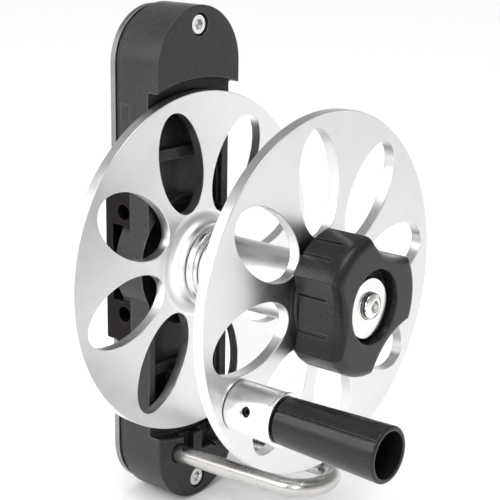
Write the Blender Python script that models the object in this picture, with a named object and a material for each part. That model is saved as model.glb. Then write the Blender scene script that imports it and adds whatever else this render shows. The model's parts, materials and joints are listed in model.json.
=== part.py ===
"""Hand-cranked line reel: two pierced discs on a drum, a moulded back, a drag knob, a crank and a line guide.

The spool turns about the Y axis. The front faces -Y and +Z is up. The rear face of the saddle lies on y = 0.
"""

import math

import bmesh
import bpy
from mathutils import Euler, Vector

MM = 0.001
GAP = 0.3
WELD = 1e-3
PAST = 4.0

# Sizes are in millimetres. Depths are counted from the front face of the rear disc, positive to the rear.
DISC_R = 75.0
DISC_THICK = 5.0
DISC_BORE_R = 6.6
DISC_EDGE = 0.35
FRONT_FACE = -68.3
HOLE_COUNT = 8
REAR_HOLES = {"phase": 15.0, "at": 46.8, "radial": 22.8, "across": 13.1}
FRONT_HOLES = {"phase": 8.5, "at": 47.5, "radial": 22.5, "across": 12.7}

# The moulded back, from its blocks' front face to the plates behind it.
BODY_HALF_W = 25.4
BODY_DOME_Z = 85.5
BODY_FRONT = 0.9
BODY_EDGE = 0.9
BODY_SPLIT = 17.8
BODY_REAR = 23.4
LIP_INSET = 2.2
LIP_REAR = 26.9
PLATE_INSET = 1.2
PLATE_FRONT = 27.2
PLATE_REAR = 30.0
ARC_R = 80.3
WEB_FRONT = 7.3
SIDE_STEP = 0.4
SIDE_STEP_Z = 70.0
POCKET_RIB = 9.7
POCKET_FLOOR = 13.2
POCKET_HALF_X = 21.5
POCKET_ROUND = 3.5
POCKET_LEDGE = 0.6
POCKETS = ((19.0, 45.2), (50.3, 70.5))
HUB_R = 29.0
HUB_REAR = 23.4
HUB_RECESS_R = 14.0
HUB_RECESS_FLOOR = 12.5
NUT_ROOM_R = 9.4
NUT_ROOM_Y = 15.5
SOCKET_RIB_X = 2.75
SOCKET_RECESS_X = 9.5
SOCKET_RECESS_Z = 89.5
SOCKET_RECESS_Y = 5.0

# The saddle behind the web.
SADDLE_REAR = 33.4
SADDLE_HALF_W = 25.0
SADDLE_HALF_Z = 36.0
TUNNEL_FRONT = 23.7
TUNNEL_REAR = 28.9
TUNNEL_HALF_Z = 17.2
CROSS_HOLE_R = 3.4
CROSS_HOLE_Z = 23.0
CROSS_HOLE_Y = 22.3
SADDLE_SCREW_X = 15.5
SADDLE_SCREW_Z = 31.0
SADDLE_SCREW_TIP = 14.4
SADDLE_HEAD_R = 3.6
SADDLE_HEAD_H = 2.0
SADDLE_SHANK_R = 1.6

BLOCK_SCREW_Z = 102.8
BLOCK_HEAD_R = 4.25
BLOCK_HEAD_H = 4.4
BLOCK_HEAD_SINK = 0.9
BLOCK_SHANK_R = 2.5
BLOCK_SHANK_LENGTH = 23.0
BLOCK_ROOM_R = 4.9
BLOCK_ROOM_Y = 6.5
CLINCH_NUT_R = 5.0
CLINCH_NUT_FRONT = 21.3

# The axle and what turns on it.
AXLE_R = 6.0
AXLE_FLANGE_R = 13.0
AXLE_FLANGE = (7.4, 12.2)
AXLE_REAR = 20.9
AXLE_TIP_R = 5.0
AXLE_FLAT_X = 4.0
AXLE_TIP_Y = -69.0
AXLE_END = -87.7
TIP_BORE_R = 3.3
NUT_FLATS = 15.0
NUT_FACES = (15.9, 20.7)
THRUST_R = 16.0
THRUST_FACES = (5.3, 7.0)
DRUM_R = 14.8
DRUM_BORE_R = 7.4
DRUM_REAR = -GAP
DRUM_FRONT = FRONT_FACE + DISC_THICK + GAP
DRUM_GROOVE = (-11.6, -9.9)
DRUM_GROOVE_R = 13.9
BUSH_R = 8.3
BUSH_BORE_R = 6.3
BUSH_LENGTH = 12.0
FLARE_R = 24.0
FLARE_FILLET = 5.5
FLARE_EDGE = 0.4
FLARE_Y = -GAP - FLARE_EDGE - FLARE_FILLET
COLLAR_R = 17.0
COLLAR_FRONT = -9.6
CLIP_R = (14.2, 16.2)
CLIP_FACES = (-11.3, -10.2)
CLIP_GAP_X = 2.5

# Countersunk screws that hold the discs to the hub and to the drum.
HOLD_COUNT = 4
HUB_SCREWS_R = 17.0
HUB_SCREWS_START = 37.5
DRUM_SCREWS_R = 11.8
DRUM_SCREWS_START = 31.0
HOLD_R = 1.2
HOLD_HEAD_R = 2.6
HOLD_SINK = 2.4
HOLD_TIP = -3.8

# The drag: a friction ring, a keyed plate, two spring washers and the knob.
DRAG_R = 22.0
DRAG_FRONT = -70.0
PLATE_R = 15.5
PLATE_THICK = 1.5
SPRING_R = (5.6, 13.5)
SPRING_THICK = 0.9
SPRING_CONE = 0.9
KNOB_BACK = -70.3
KNOB_FRONT = -92.5
KNOB_LOBE_R = 29.3
KNOB_LOBE_HALF = 27.0
KNOB_VALLEY_R = 21.5
KNOB_PHASE = 3.5
KNOB_RECESS_R = 15.2
KNOB_RECESS_FLOOR = -86.5
KNOB_CUP_R = 16.5
KNOB_CUP_FLOOR = -78.0
INSERT_R = 8.3
WASHER_R = (4.6, 12.4)
WASHER_FACES = (-89.5, -88.0)
WASHER_DROP = (-0.3, 0.0, -1.2)
KNOB_SCREW_FRONT = -92.4
KNOB_SCREW_SEAT = -89.8
KNOB_SCREW_TIP = -74.0
KNOB_SCREW_HEAD_R = 5.7
KNOB_SCREW_R = 3.0

# The crank.
CRANK_X = -53.8
CRANK_Z = -31.6
SPINDLE_R = 4.0
SPINDLE_BORE_R = 4.3
SPINDLE_HEAD_R = 7.0
SPINDLE_HEAD_H = 3.5
FERRULE_FRONT = -90.9
FERRULE_R = 10.6
FERRULE_GRUB_TURN = math.radians(162.0)
FERRULE_GRUB_Y = -79.0
GRIP_BACK = -91.3
GRIP_FRONT = -137.2
GRIP_BACK_R = 9.25
GRIP_FRONT_R = 10.66
GRIP_CUP_R = 8.7
GRIP_CUP_FLOOR = -118.0
END_WASHER_R = (2.5, 8.0)
END_WASHER_THICK = 1.4
END_HEAD_R = 4.2
END_HEAD_H = 3.0
END_SHANK_R = 2.1
END_SHANK_LENGTH = 10.0

# The line guide.
ROD_R = 4.0
ROD_ROUND = 20
BEND_STEPS = 20
BAIL_X = 13.0
BAIL_ROOT_Z = -86.5
BAIL_BEND_Y = -58.0
BAIL_RISE = 3.1
BAIL_TAIL = 13.0
SLOPE = math.atan2(BAIL_RISE, BODY_FRONT - BAIL_BEND_Y)
SOCKET_ROOM = 0.5
GRUB_R = 2.0
GRUB_Y = 8.0
GRUB_LENGTH = 10.8
GRUB_TOP_Z = BAIL_ROOT_Z - ROD_R - 0.9

# How many sides the round shapes have, from the largest to the smallest.
DISC_ROUND = 64
HOLE_ROUND = 24
ROUND = 28
MID_ROUND = 24
SMALL_ROUND = 14
TINY_ROUND = 10

BASE = Vector((0.0, -SADDLE_REAR * MM, 0.0))


def material(name, colour, roughness, metallic):
    mat = bpy.data.materials.new(name)
    mat.use_nodes = True
    shader = mat.node_tree.nodes["Principled BSDF"]
    shader.inputs["Base Color"].default_value = (*colour, 1.0)
    shader.inputs["Roughness"].default_value = roughness
    shader.inputs["Metallic"].default_value = metallic
    return mat


def add(name, bm, mat, at=(0.0, 0.0, 0.0), tilt=(0.0, 0.0, 0.0), smooth=True):
    """One named object from a mesh in millimetres, placed at a point of the spool frame."""
    bmesh.ops.remove_doubles(bm, verts=bm.verts, dist=WELD)
    bmesh.ops.recalc_face_normals(bm, faces=bm.faces)
    bmesh.ops.scale(bm, vec=(MM, MM, MM), verts=bm.verts)
    mesh = bpy.data.meshes.new(name)
    bm.to_mesh(mesh)
    bm.free()
    obj = bpy.data.objects.new(name, mesh)
    bpy.context.scene.collection.objects.link(obj)
    obj.location = BASE + Vector(at) * MM
    obj.rotation_euler = Euler(tilt)
    if smooth:
        mesh.shade_smooth()
        mesh.set_sharp_from_angle(angle=math.radians(35.0))
    if mat:
        mesh.materials.append(mat)
    return obj


def spun(bm, profile, steps, centre=(0.0, 0.0)):
    """A closed outline of (radius, y) points turned round the Y axis through centre (x, z)."""
    cx, cz = centre
    verts = [bm.verts.new((cx + r, y, cz)) for r, y in profile]
    edges = [
        bm.edges.new((a, b))
        for a, b in zip(verts, verts[1:] + verts[:1])
        if abs(a.co.x - cx) > 1e-6 or abs(b.co.x - cx) > 1e-6
    ]
    bmesh.ops.spin(
        bm,
        geom=verts + edges,
        cent=(cx, 0.0, cz),
        axis=(0.0, 1.0, 0.0),
        angle=math.tau,
        steps=steps,
        use_duplicate=False,
    )
    bmesh.ops.remove_doubles(bm, verts=bm.verts, dist=WELD)


def lathe(name, profile, mat, at=(0.0, 0.0, 0.0), tilt=(0.0, 0.0, 0.0), steps=ROUND):
    bm = bmesh.new()
    spun(bm, profile, steps)
    return add(name, bm, mat, at, tilt)


def rod(radius, front, rear):
    """The outline of a plain cylinder."""
    return [(0.0, front), (radius, front), (radius, rear), (0.0, rear)]


def ring(inner, outer, front, rear, edge=0.0):
    """The outline of a ring, with a chamfer on its outer edges."""
    return [
        (inner, front),
        (outer - edge, front),
        (outer, front + edge),
        (outer, rear - edge),
        (outer - edge, rear),
        (inner, rear),
    ] if edge else [(inner, front), (outer, front), (outer, rear), (inner, rear)]


def stacked(bm, loops):
    """A solid through closed loops of points, each loop the same length, with flat ends."""
    rings = [[bm.verts.new(p) for p in loop] for loop in loops]
    for low, high in zip(rings, rings[1:]):
        for i in range(len(low)):
            j = (i + 1) % len(low)
            bm.faces.new((low[i], low[j], high[j], high[i]))
    bm.faces.new(rings[0])
    bm.faces.new(rings[-1])


def prism(bm, outline, front, rear):
    """An (x, z) outline drawn out along Y."""
    stacked(bm, [[(x, y, z) for x, z in outline] for y in (front, rear)])


def box(bm, xs, ys, zs):
    prism(bm, [(xs[0], zs[0]), (xs[1], zs[0]), (xs[1], zs[1]), (xs[0], zs[1])], *ys)


def rounded(xs, zs, corner, steps=4):
    """A rectangle in x and z with round corners."""
    points = []
    for k, (x, z) in enumerate(((xs[1], zs[1]), (xs[0], zs[1]), (xs[0], zs[0]), (xs[1], zs[0]))):
        cx = x - math.copysign(corner, x - sum(xs) / 2)
        cz = z - math.copysign(corner, z - sum(zs) / 2)
        for i in range(steps + 1):
            a = math.radians(90.0 * k + 90.0 * i / steps)
            points.append((cx + corner * math.cos(a), cz + corner * math.sin(a)))
    return points


def across(bm, radius, y, z, half, steps=SMALL_ROUND):
    """A cylinder along X through (y, z)."""
    turn = [math.tau * i / steps for i in range(steps)]
    stacked(
        bm,
        [
            [(x, y + radius * math.cos(a), z + radius * math.sin(a)) for a in turn]
            for x in (-half, half)
        ],
    )


def cut(target, bm, name, at=(0.0, 0.0, 0.0), tilt=(0.0, 0.0, 0.0), operation="DIFFERENCE"):
    """An exact Boolean of target with a hidden cutter."""
    cutter = add(name, bm, None, at, tilt, smooth=False)
    cutter.hide_render = True
    cutter.display_type = "WIRE"
    modifier = target.modifiers.new(name, "BOOLEAN")
    modifier.operation = operation
    modifier.solver = "EXACT"
    modifier.object = cutter


def stadium(half_w, dome_z, steps=16):
    """The outline of the back: straight sides and two round ends."""
    points = []
    for sign in (1.0, -1.0):
        for i in range(steps + 1):
            a = math.pi * i / steps
            points.append((sign * half_w * math.cos(a), sign * (dome_z + half_w * math.sin(a))))
    return points


def ellipses(bm, holes, front, rear, steps=HOLE_ROUND):
    """One through cutter for each hole of a disc."""
    for k in range(HOLE_COUNT):
        turn = math.radians(holes["phase"] + 360.0 * k / HOLE_COUNT)
        outline = []
        for i in range(steps):
            a = math.tau * i / steps
            u = holes["at"] + holes["radial"] * math.cos(a)
            v = holes["across"] * math.sin(a)
            x = u * math.cos(turn) - v * math.sin(turn)
            outline.append((x, u * math.sin(turn) + v * math.cos(turn)))
        prism(bm, outline, front, rear)


def hexagon(flats):
    corner = flats / 2 / math.cos(math.pi / 6)
    return [(corner * math.cos(math.pi * i / 3), corner * math.sin(math.pi * i / 3)) for i in range(6)]


def cap_screw(name, at, head_r, head_h, shank_r, length, key, mat):
    """A socket screw along Y: its head's front is at y = 0 and its shank runs to the rear."""
    edge = 0.4
    profile = [
        (0.0, 0.0),
        (head_r - edge, 0.0),
        (head_r, edge),
        (head_r, head_h),
        (shank_r, head_h),
        (shank_r, head_h + length),
        (0.0, head_h + length),
    ]
    screw = lathe(name, profile, mat, at, steps=SMALL_ROUND)
    bm = bmesh.new()
    prism(bm, hexagon(key), -1.0, head_h * 0.6)
    cut(screw, bm, name + "_key", at)
    return screw


def grub_screw(name, at, tilt, radius, length, key, mat):
    screw = lathe(name, rod(radius, 0.0, length), mat, at, tilt, steps=TINY_ROUND)
    bm = bmesh.new()
    prism(bm, hexagon(key), -1.0, length * 0.5)
    cut(screw, bm, name + "_key", at, tilt)
    return screw


def polar(count, radius, start):
    for k in range(count):
        a = math.radians(start + 360.0 * k / count)
        yield k + 1, radius * math.cos(a), radius * math.sin(a)


for old in list(bpy.data.objects):
    bpy.data.objects.remove(old)

BLACK = material("moulded_black", (0.022, 0.022, 0.023), 0.45, 0.0)
BROWN_BLACK = material("saddle_black", (0.025, 0.021, 0.019), 0.5, 0.0)
ALUMINIUM = material("brushed_aluminium", (0.80, 0.80, 0.80), 0.3, 1.0)
PLATE_GREY = material("plate_aluminium", (0.40, 0.40, 0.41), 0.45, 1.0)
STEEL = material("stainless", (0.60, 0.59, 0.57), 0.22, 1.0)
BRONZE = material("bearing_bronze", (0.50, 0.33, 0.14), 0.35, 1.0)
BRASS = material("insert_brass", (0.62, 0.47, 0.20), 0.35, 1.0)
FIBRE = material("friction_black", (0.03, 0.03, 0.03), 0.8, 0.0)

SADDLE_SCREWS = [
    (side * SADDLE_SCREW_X, end * SADDLE_SCREW_Z) for side in (-1.0, 1.0) for end in (-1.0, 1.0)
]


def make_body():
    """The moulded back: two round end blocks and a web between them with pockets and a round hub."""
    levels = (
        (BODY_FRONT, BODY_EDGE),
        (BODY_FRONT + BODY_EDGE, 0.0),
        (BODY_REAR, 0.0),
        (BODY_REAR, LIP_INSET),
        (LIP_REAR, LIP_INSET),
    )
    bm = bmesh.new()
    stacked(bm, [[(x, y, z) for x, z in stadium(BODY_HALF_W - inset, BODY_DOME_Z)] for y, inset in levels])
    body = add("body_frame", bm, BLACK)

    bm = bmesh.new()
    spun(bm, rod(ARC_R, BODY_FRONT - PAST, WEB_FRONT), DISC_ROUND)
    cut(body, bm, "cut_web")

    bm = bmesh.new()
    box(bm, (-40.0, 40.0), (BODY_SPLIT, 40.0), (-SADDLE_HALF_Z - GAP, SADDLE_HALF_Z + GAP))
    cut(body, bm, "cut_saddle_room")

    for side in (-1.0, 1.0):
        bm = bmesh.new()
        xs = sorted((side * (BODY_HALF_W - SIDE_STEP), side * 40.0))
        box(bm, xs, (BODY_SPLIT, 39.0), (-SIDE_STEP_Z, SIDE_STEP_Z))
        cut(body, bm, "cut_side_step_" + ("left" if side < 0 else "right"))

    bm = bmesh.new()
    spun(bm, rod(HUB_R, WEB_FRONT + 0.4, HUB_REAR), 2 * ROUND)
    cut(body, bm, "join_hub", operation="UNION")
    cut_pockets(body)
    cut_body_holes(body)
    cut_guide_sockets(body)


def cut_pockets(body):
    """On each side of the hub, a wide recess down to the rib, and two pockets below it."""
    for label, end in (("upper", 1.0), ("lower", -1.0)):
        bm = bmesh.new()
        zs = sorted((end * POCKETS[0][0], end * POCKETS[1][1]))
        outline = rounded((-POCKET_HALF_X, POCKET_HALF_X), zs, POCKET_ROUND)
        prism(bm, outline, WEB_FRONT - PAST, POCKET_RIB)
        cut(body, bm, f"cut_{label}_recess")
        bm = bmesh.new()
        half = POCKET_HALF_X - POCKET_LEDGE
        for inner, outer in POCKETS:
            zs = sorted((end * inner, end * outer))
            if inner == POCKETS[0][0]:
                zs = sorted((end * (inner + POCKET_LEDGE), end * outer))
            else:
                zs = sorted((end * inner, end * (outer - POCKET_LEDGE)))
            outline = rounded((-half, half), zs, POCKET_ROUND - POCKET_LEDGE)
            prism(bm, outline, WEB_FRONT - PAST, POCKET_FLOOR)
        cut(body, bm, f"cut_{label}_pockets")


def cut_body_holes(body):
    """Round holes: the axle's flange and nut, the saddle's screws, and the block screws with their nuts."""
    bm = bmesh.new()
    spun(
        bm,
        [
            (0.0, WEB_FRONT - PAST),
            (HUB_RECESS_R, WEB_FRONT - PAST),
            (HUB_RECESS_R, HUB_RECESS_FLOOR),
            (AXLE_R + GAP, HUB_RECESS_FLOOR),
            (AXLE_R + GAP, NUT_ROOM_Y),
            (NUT_ROOM_R, NUT_ROOM_Y),
            (NUT_ROOM_R, HUB_REAR + PAST),
            (0.0, HUB_REAR + PAST),
        ],
        ROUND,
    )
    for at in SADDLE_SCREWS:
        spun(bm, rod(SADDLE_SHANK_R + GAP, SADDLE_SCREW_TIP - GAP, BODY_SPLIT + PAST), TINY_ROUND, at)
    for end in (-1.0, 1.0):
        spun(
            bm,
            [
                (0.0, BODY_FRONT - PAST),
                (BLOCK_ROOM_R, BODY_FRONT - PAST),
                (BLOCK_ROOM_R, BLOCK_ROOM_Y),
                (BLOCK_SHANK_R + GAP, BLOCK_ROOM_Y),
                (BLOCK_SHANK_R + GAP, CLINCH_NUT_FRONT - GAP),
                (CLINCH_NUT_R + GAP, CLINCH_NUT_FRONT - GAP),
                (CLINCH_NUT_R + GAP, LIP_REAR + PAST),
                (0.0, LIP_REAR + PAST),
            ],
            SMALL_ROUND,
            (0.0, end * BLOCK_SCREW_Z),
        )
    cut(body, bm, "cut_holes")
    bm = bmesh.new()
    for end in (-1.0, 1.0):
        across(bm, CROSS_HOLE_R + GAP, CROSS_HOLE_Y, end * CROSS_HOLE_Z, 40.0)
    cut(body, bm, "cut_hub_channels")


def cut_guide_sockets(body):
    """The lower block is open between the line guide's two sockets, on either side of a rib."""
    bm = bmesh.new()
    for side in (-1.0, 1.0):
        xs = sorted((side * SOCKET_RIB_X, side * SOCKET_RECESS_X))
        box(bm, xs, (BODY_FRONT - PAST, SOCKET_RECESS_Y), (-SOCKET_RECESS_Z, -ARC_R + 8.0))
    cut(body, bm, "cut_socket_recess")

    bm = bmesh.new()
    for side in (-1.0, 1.0):
        room = rod(ROD_R + SOCKET_ROOM, -6.0, BAIL_TAIL + SOCKET_ROOM)
        spun(bm, room, SMALL_ROUND, (side * BAIL_X, 0.0))
    cut(body, bm, "cut_sockets", (0.0, BODY_FRONT, BAIL_ROOT_Z), (-SLOPE, 0.0, 0.0))

    bm = bmesh.new()
    for side in (-1.0, 1.0):
        spun(bm, rod(GRUB_R + GAP, 0.0, 20.0), TINY_ROUND, (side * BAIL_X, 0.0))
    cut(body, bm, "cut_grub_holes", (0.0, GRUB_Y, GRUB_TOP_Z + 2.0), (-math.pi / 2, 0.0, 0.0))


def make_saddle():
    """The block behind the web. It has room for the hub, a strap tunnel and two cross holes."""
    levels = (
        (BODY_SPLIT + GAP, 0.0),
        (SADDLE_REAR - 1.0, 0.0),
        (SADDLE_REAR - 0.3, 0.3),
        (SADDLE_REAR, 1.0),
    )
    loops = []
    for y, inset in levels:
        half_w = SADDLE_HALF_W - inset
        half_z = SADDLE_HALF_Z - inset
        loops.append([(x, y, z) for x, z in rounded((-half_w, half_w), (-half_z, half_z), 1.0)])
    bm = bmesh.new()
    stacked(bm, loops)
    saddle = add("saddle", bm, BROWN_BLACK)

    bm = bmesh.new()
    spun(bm, rod(HUB_R + GAP, BODY_SPLIT - PAST, TUNNEL_FRONT), 2 * ROUND)
    cut(saddle, bm, "cut_hub_room")
    bm = bmesh.new()
    box(bm, (-40.0, 40.0), (TUNNEL_FRONT - 1.0, TUNNEL_REAR), (-TUNNEL_HALF_Z, TUNNEL_HALF_Z))
    cut(saddle, bm, "cut_tunnel")
    bm = bmesh.new()
    for end in (-1.0, 1.0):
        across(bm, CROSS_HOLE_R, CROSS_HOLE_Y, end * CROSS_HOLE_Z, 40.0)
    cut(saddle, bm, "cut_cross_holes")

    sunk = [
        (0.0, BODY_SPLIT - PAST),
        (SADDLE_SHANK_R + GAP, BODY_SPLIT - PAST),
        (SADDLE_SHANK_R + GAP, SADDLE_REAR - SADDLE_HEAD_H),
        (SADDLE_HEAD_R + GAP, SADDLE_REAR),
        (SADDLE_HEAD_R + GAP, SADDLE_REAR + PAST),
        (0.0, SADDLE_REAR + PAST),
    ]
    bm = bmesh.new()
    for at in SADDLE_SCREWS:
        spun(bm, sunk, SMALL_ROUND, at)
    cut(saddle, bm, "cut_saddle_holes")
    for index, (x, z) in enumerate(SADDLE_SCREWS, 1):
        make_saddle_screw(index, (x, 0.0, z))


def make_saddle_screw(index, place):
    face = SADDLE_REAR - 0.1
    profile = [
        (0.0, SADDLE_SCREW_TIP),
        (SADDLE_SHANK_R, SADDLE_SCREW_TIP),
        (SADDLE_SHANK_R, SADDLE_REAR - SADDLE_HEAD_H),
        (SADDLE_HEAD_R, face),
        (0.0, face),
    ]
    screw = lathe(f"saddle_screw_{index}", profile, STEEL, place, steps=SMALL_ROUND)
    bm = bmesh.new()
    prism(bm, hexagon(2.0), SADDLE_REAR - 1.4, SADDLE_REAR + PAST)
    cut(screw, bm, f"saddle_screw_{index}_key", place)


def make_back_plate(name, end):
    """A grey plate behind one half of the back: a straight inner edge and a round outer one."""
    inner = SADDLE_HALF_Z + GAP
    half = BODY_HALF_W - PLATE_INSET
    steps = 24
    outline = [(half, end * inner)]
    for i in range(steps + 1):
        a = math.pi * i / steps
        outline.append((half * math.cos(a), end * (BODY_DOME_Z + half * math.sin(a))))
    outline.append((-half, end * inner))
    bm = bmesh.new()
    prism(bm, outline, PLATE_FRONT, PLATE_REAR)
    plate = add(name, bm, PLATE_GREY)
    bm = bmesh.new()
    hole = rod(BLOCK_SHANK_R + GAP, PLATE_FRONT - PAST, PLATE_REAR + PAST)
    spun(bm, hole, SMALL_ROUND, (0.0, end * BLOCK_SCREW_Z))
    cut(plate, bm, "cut_" + name)


def make_block_screw(name, end):
    """A cap screw sunk in a block's face, and the clinch nut that it runs into."""
    place = (0.0, BODY_FRONT + BLOCK_HEAD_SINK, end * BLOCK_SCREW_Z)
    sizes = (BLOCK_HEAD_R, BLOCK_HEAD_H, BLOCK_SHANK_R, BLOCK_SHANK_LENGTH, 4.0)
    cap_screw(name + "_block_screw", place, *sizes, STEEL)
    nut = ring(BLOCK_SHANK_R + GAP, CLINCH_NUT_R, CLINCH_NUT_FRONT, LIP_REAR - 0.2, 0.4)
    lathe(name + "_clinch_nut", nut, STEEL, (0.0, 0.0, end * BLOCK_SCREW_Z), steps=SMALL_ROUND)


def double_flat(radius, flat, steps=8):
    """The outline of a round with two flats that face +X and -X."""
    turn = math.acos(flat / radius)
    points = []
    for side in (0.0, math.pi):
        for i in range(steps + 1):
            a = side + turn + (math.pi - 2.0 * turn) * i / steps
            points.append((radius * math.cos(a), radius * math.sin(a)))
    return points


def make_axle():
    """The fixed axle: a flange in the hub, a plain shaft through the spool and a flatted tip for the drag."""
    axle = lathe(
        "axle",
        [
            (0.0, AXLE_END),
            (AXLE_TIP_R - 0.6, AXLE_END),
            (AXLE_TIP_R, AXLE_END + 0.6),
            (AXLE_TIP_R, AXLE_TIP_Y),
            (AXLE_R, AXLE_TIP_Y),
            (AXLE_R, AXLE_FLANGE[0]),
            (AXLE_FLANGE_R, AXLE_FLANGE[0]),
            (AXLE_FLANGE_R, AXLE_FLANGE[1]),
            (AXLE_R, AXLE_FLANGE[1]),
            (AXLE_R, AXLE_REAR),
            (0.0, AXLE_REAR),
        ],
        STEEL,
        steps=MID_ROUND,
    )
    bm = bmesh.new()
    for side in (-1.0, 1.0):
        xs = sorted((side * AXLE_FLAT_X, side * 9.0))
        box(bm, xs, (AXLE_END - PAST, AXLE_TIP_Y + 0.2), (-9.0, 9.0))
    cut(axle, bm, "cut_flats")
    bm = bmesh.new()
    spun(bm, rod(TIP_BORE_R, AXLE_END - PAST, AXLE_TIP_Y - 2.0), SMALL_ROUND)
    cut(axle, bm, "cut_tip_bore")

    bm = bmesh.new()
    prism(bm, hexagon(NUT_FLATS), *NUT_FACES)
    nut = add("axle_nut", bm, STEEL, smooth=False)
    bm = bmesh.new()
    spun(bm, rod(AXLE_R + GAP, NUT_FACES[0] - PAST, NUT_FACES[1] + PAST), MID_ROUND)
    cut(nut, bm, "cut_axle_nut")
    lathe("thrust_washer", ring(AXLE_R + GAP, THRUST_R, *THRUST_FACES, 0.3), BRONZE)


def make_disc(name, front, holes):
    profile = ring(DISC_BORE_R, DISC_R, front, front + DISC_THICK, DISC_EDGE)
    disc = lathe(name, profile, ALUMINIUM, steps=DISC_ROUND)
    bm = bmesh.new()
    ellipses(bm, holes, front - PAST, front + DISC_THICK + PAST)
    cut(disc, bm, "cut_" + name + "_holes")
    return disc


def make_drum():
    """The drum with its clip groove, and a bush in each end."""
    room = BUSH_R + GAP
    rear_step = DRUM_REAR - BUSH_LENGTH - 1.0
    front_step = DRUM_FRONT + BUSH_LENGTH + 1.0
    drum = lathe(
        "drum",
        [
            (DRUM_BORE_R, front_step),
            (room, front_step),
            (room, DRUM_FRONT),
            (DRUM_R, DRUM_FRONT),
            (DRUM_R, DRUM_GROOVE[0]),
            (DRUM_GROOVE_R, DRUM_GROOVE[0]),
            (DRUM_GROOVE_R, DRUM_GROOVE[1]),
            (DRUM_R, DRUM_GROOVE[1]),
            (DRUM_R, DRUM_REAR),
            (room, DRUM_REAR),
            (room, rear_step),
            (DRUM_BORE_R, rear_step),
        ],
        STEEL,
    )
    front_bush = ring(BUSH_BORE_R, BUSH_R, DRUM_FRONT, DRUM_FRONT + BUSH_LENGTH)
    rear_bush = ring(BUSH_BORE_R, BUSH_R, DRUM_REAR - BUSH_LENGTH, DRUM_REAR)
    lathe("front_bush", front_bush, BRONZE, steps=MID_ROUND)
    lathe("rear_bush", rear_bush, BRONZE, steps=MID_ROUND)
    return drum


def make_hub():
    """The flared flange behind the rear disc's face, the collar on it and the clip that holds them."""
    steps = 6
    flare = [(DRUM_R + GAP, -GAP), (DRUM_R + GAP, FLARE_Y)]
    for i in range(steps + 1):
        a = math.pi / 2 * i / steps
        flare.append((FLARE_R - FLARE_FILLET * math.cos(a), FLARE_Y + FLARE_FILLET * math.sin(a)))
    flare.append((FLARE_R, -GAP))
    flange = lathe("hub_flange", flare, STEEL)
    lathe("hub_collar", ring(DRUM_R + GAP, COLLAR_R, COLLAR_FRONT, FLARE_Y - GAP, 0.5), STEEL)
    clip = lathe("retaining_ring", ring(*CLIP_R, *CLIP_FACES, 0.1), STEEL, steps=MID_ROUND)
    bm = bmesh.new()
    box(bm, (-CLIP_GAP_X, CLIP_GAP_X), (-14.0, -8.0), (-20.0, -10.0))
    cut(clip, bm, "cut_ring_gap")
    return flange


def hold_profiles(face, way):
    """Outlines of a countersunk hole and of its screw, which run from this face along Y."""
    room_tip = HOLD_TIP - GAP
    sunk = [
        (0.0, DISC_THICK + 2.0),
        (HOLD_HEAD_R + GAP, DISC_THICK + 2.0),
        (HOLD_HEAD_R + GAP, DISC_THICK),
        (HOLD_R + GAP, DISC_THICK - HOLD_SINK),
        (HOLD_R + GAP, room_tip),
        (0.0, room_tip),
    ]
    held = [
        (0.0, DISC_THICK - 0.05),
        (HOLD_HEAD_R, DISC_THICK - 0.05),
        (HOLD_R, DISC_THICK - HOLD_SINK),
        (HOLD_R, HOLD_TIP),
        (0.0, HOLD_TIP),
    ]
    placed = [[(r, face - way * (y - DISC_THICK)) for r, y in outline] for outline in (sunk, held)]
    return placed


def make_hold_screws(name, targets, face, way, radius, start):
    """A ring of countersunk screws along Y, and their holes in the parts that they go through."""
    sunk, held = hold_profiles(face, way)
    spots = list(polar(HOLD_COUNT, radius, start))
    for target in targets:
        bm = bmesh.new()
        for _, x, z in spots:
            spun(bm, sunk, TINY_ROUND, (x, z))
        cut(target, bm, "cut_screws_" + target.name)
    for index, x, z in spots:
        lathe(f"{name}_{index}", held, STEEL, (x, 0.0, z), steps=TINY_ROUND)


def make_drag():
    """The friction ring, the pressure plate keyed to the axle's flats, and two spring washers."""
    lathe("drag_washer", ring(AXLE_R + 1.0, DRAG_R, DRAG_FRONT, FRONT_FACE - GAP, 0.2), FIBRE)
    face = KNOB_BACK - PLATE_THICK
    plate = lathe("pressure_plate", ring(3.0, PLATE_R, face, KNOB_BACK, 0.3), STEEL, steps=MID_ROUND)
    bm = bmesh.new()
    prism(bm, double_flat(AXLE_TIP_R + GAP, AXLE_FLAT_X + GAP), face - PAST, KNOB_BACK + PAST)
    cut(plate, bm, "cut_plate_key")
    at = face - GAP
    for index, near, far in ((1, 0.0, SPRING_CONE), (2, SPRING_CONE, 0.0)):
        inner, outer = SPRING_R
        profile = [
            (inner, at - near),
            (outer, at - far),
            (outer, at - far - SPRING_THICK),
            (inner, at - near - SPRING_THICK),
        ]
        lathe(f"spring_washer_{index}", profile, STEEL, steps=MID_ROUND)
        at -= SPRING_CONE + SPRING_THICK + GAP


def knob_outline(shrink, steps=7):
    """Three lobes of one circle, and a hollow circle between each two."""
    flank = math.radians(60.0 - KNOB_LOBE_HALF)
    reach = (KNOB_LOBE_R**2 - KNOB_VALLEY_R**2) / 2 / (KNOB_LOBE_R * math.cos(flank) - KNOB_VALLEY_R)
    hollow = reach - KNOB_VALLEY_R
    points = []
    for k in range(3):
        for i in range(steps):
            a = math.radians(KNOB_PHASE + 120.0 * k + KNOB_LOBE_HALF * (2.0 * i / (steps - 1) - 1.0))
            r = KNOB_LOBE_R - shrink
            points.append((r * math.cos(a), r * math.sin(a)))
        for i in range(1, steps + 1):
            off = flank * (2.0 * i / (steps + 1) - 1.0)
            a = math.radians(KNOB_PHASE + 120.0 * k + 60.0) + off
            r = reach * math.cos(off) - math.sqrt(hollow**2 - (reach * math.sin(off)) ** 2) - shrink
            points.append((r * math.cos(a), r * math.sin(a)))
    return points


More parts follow.
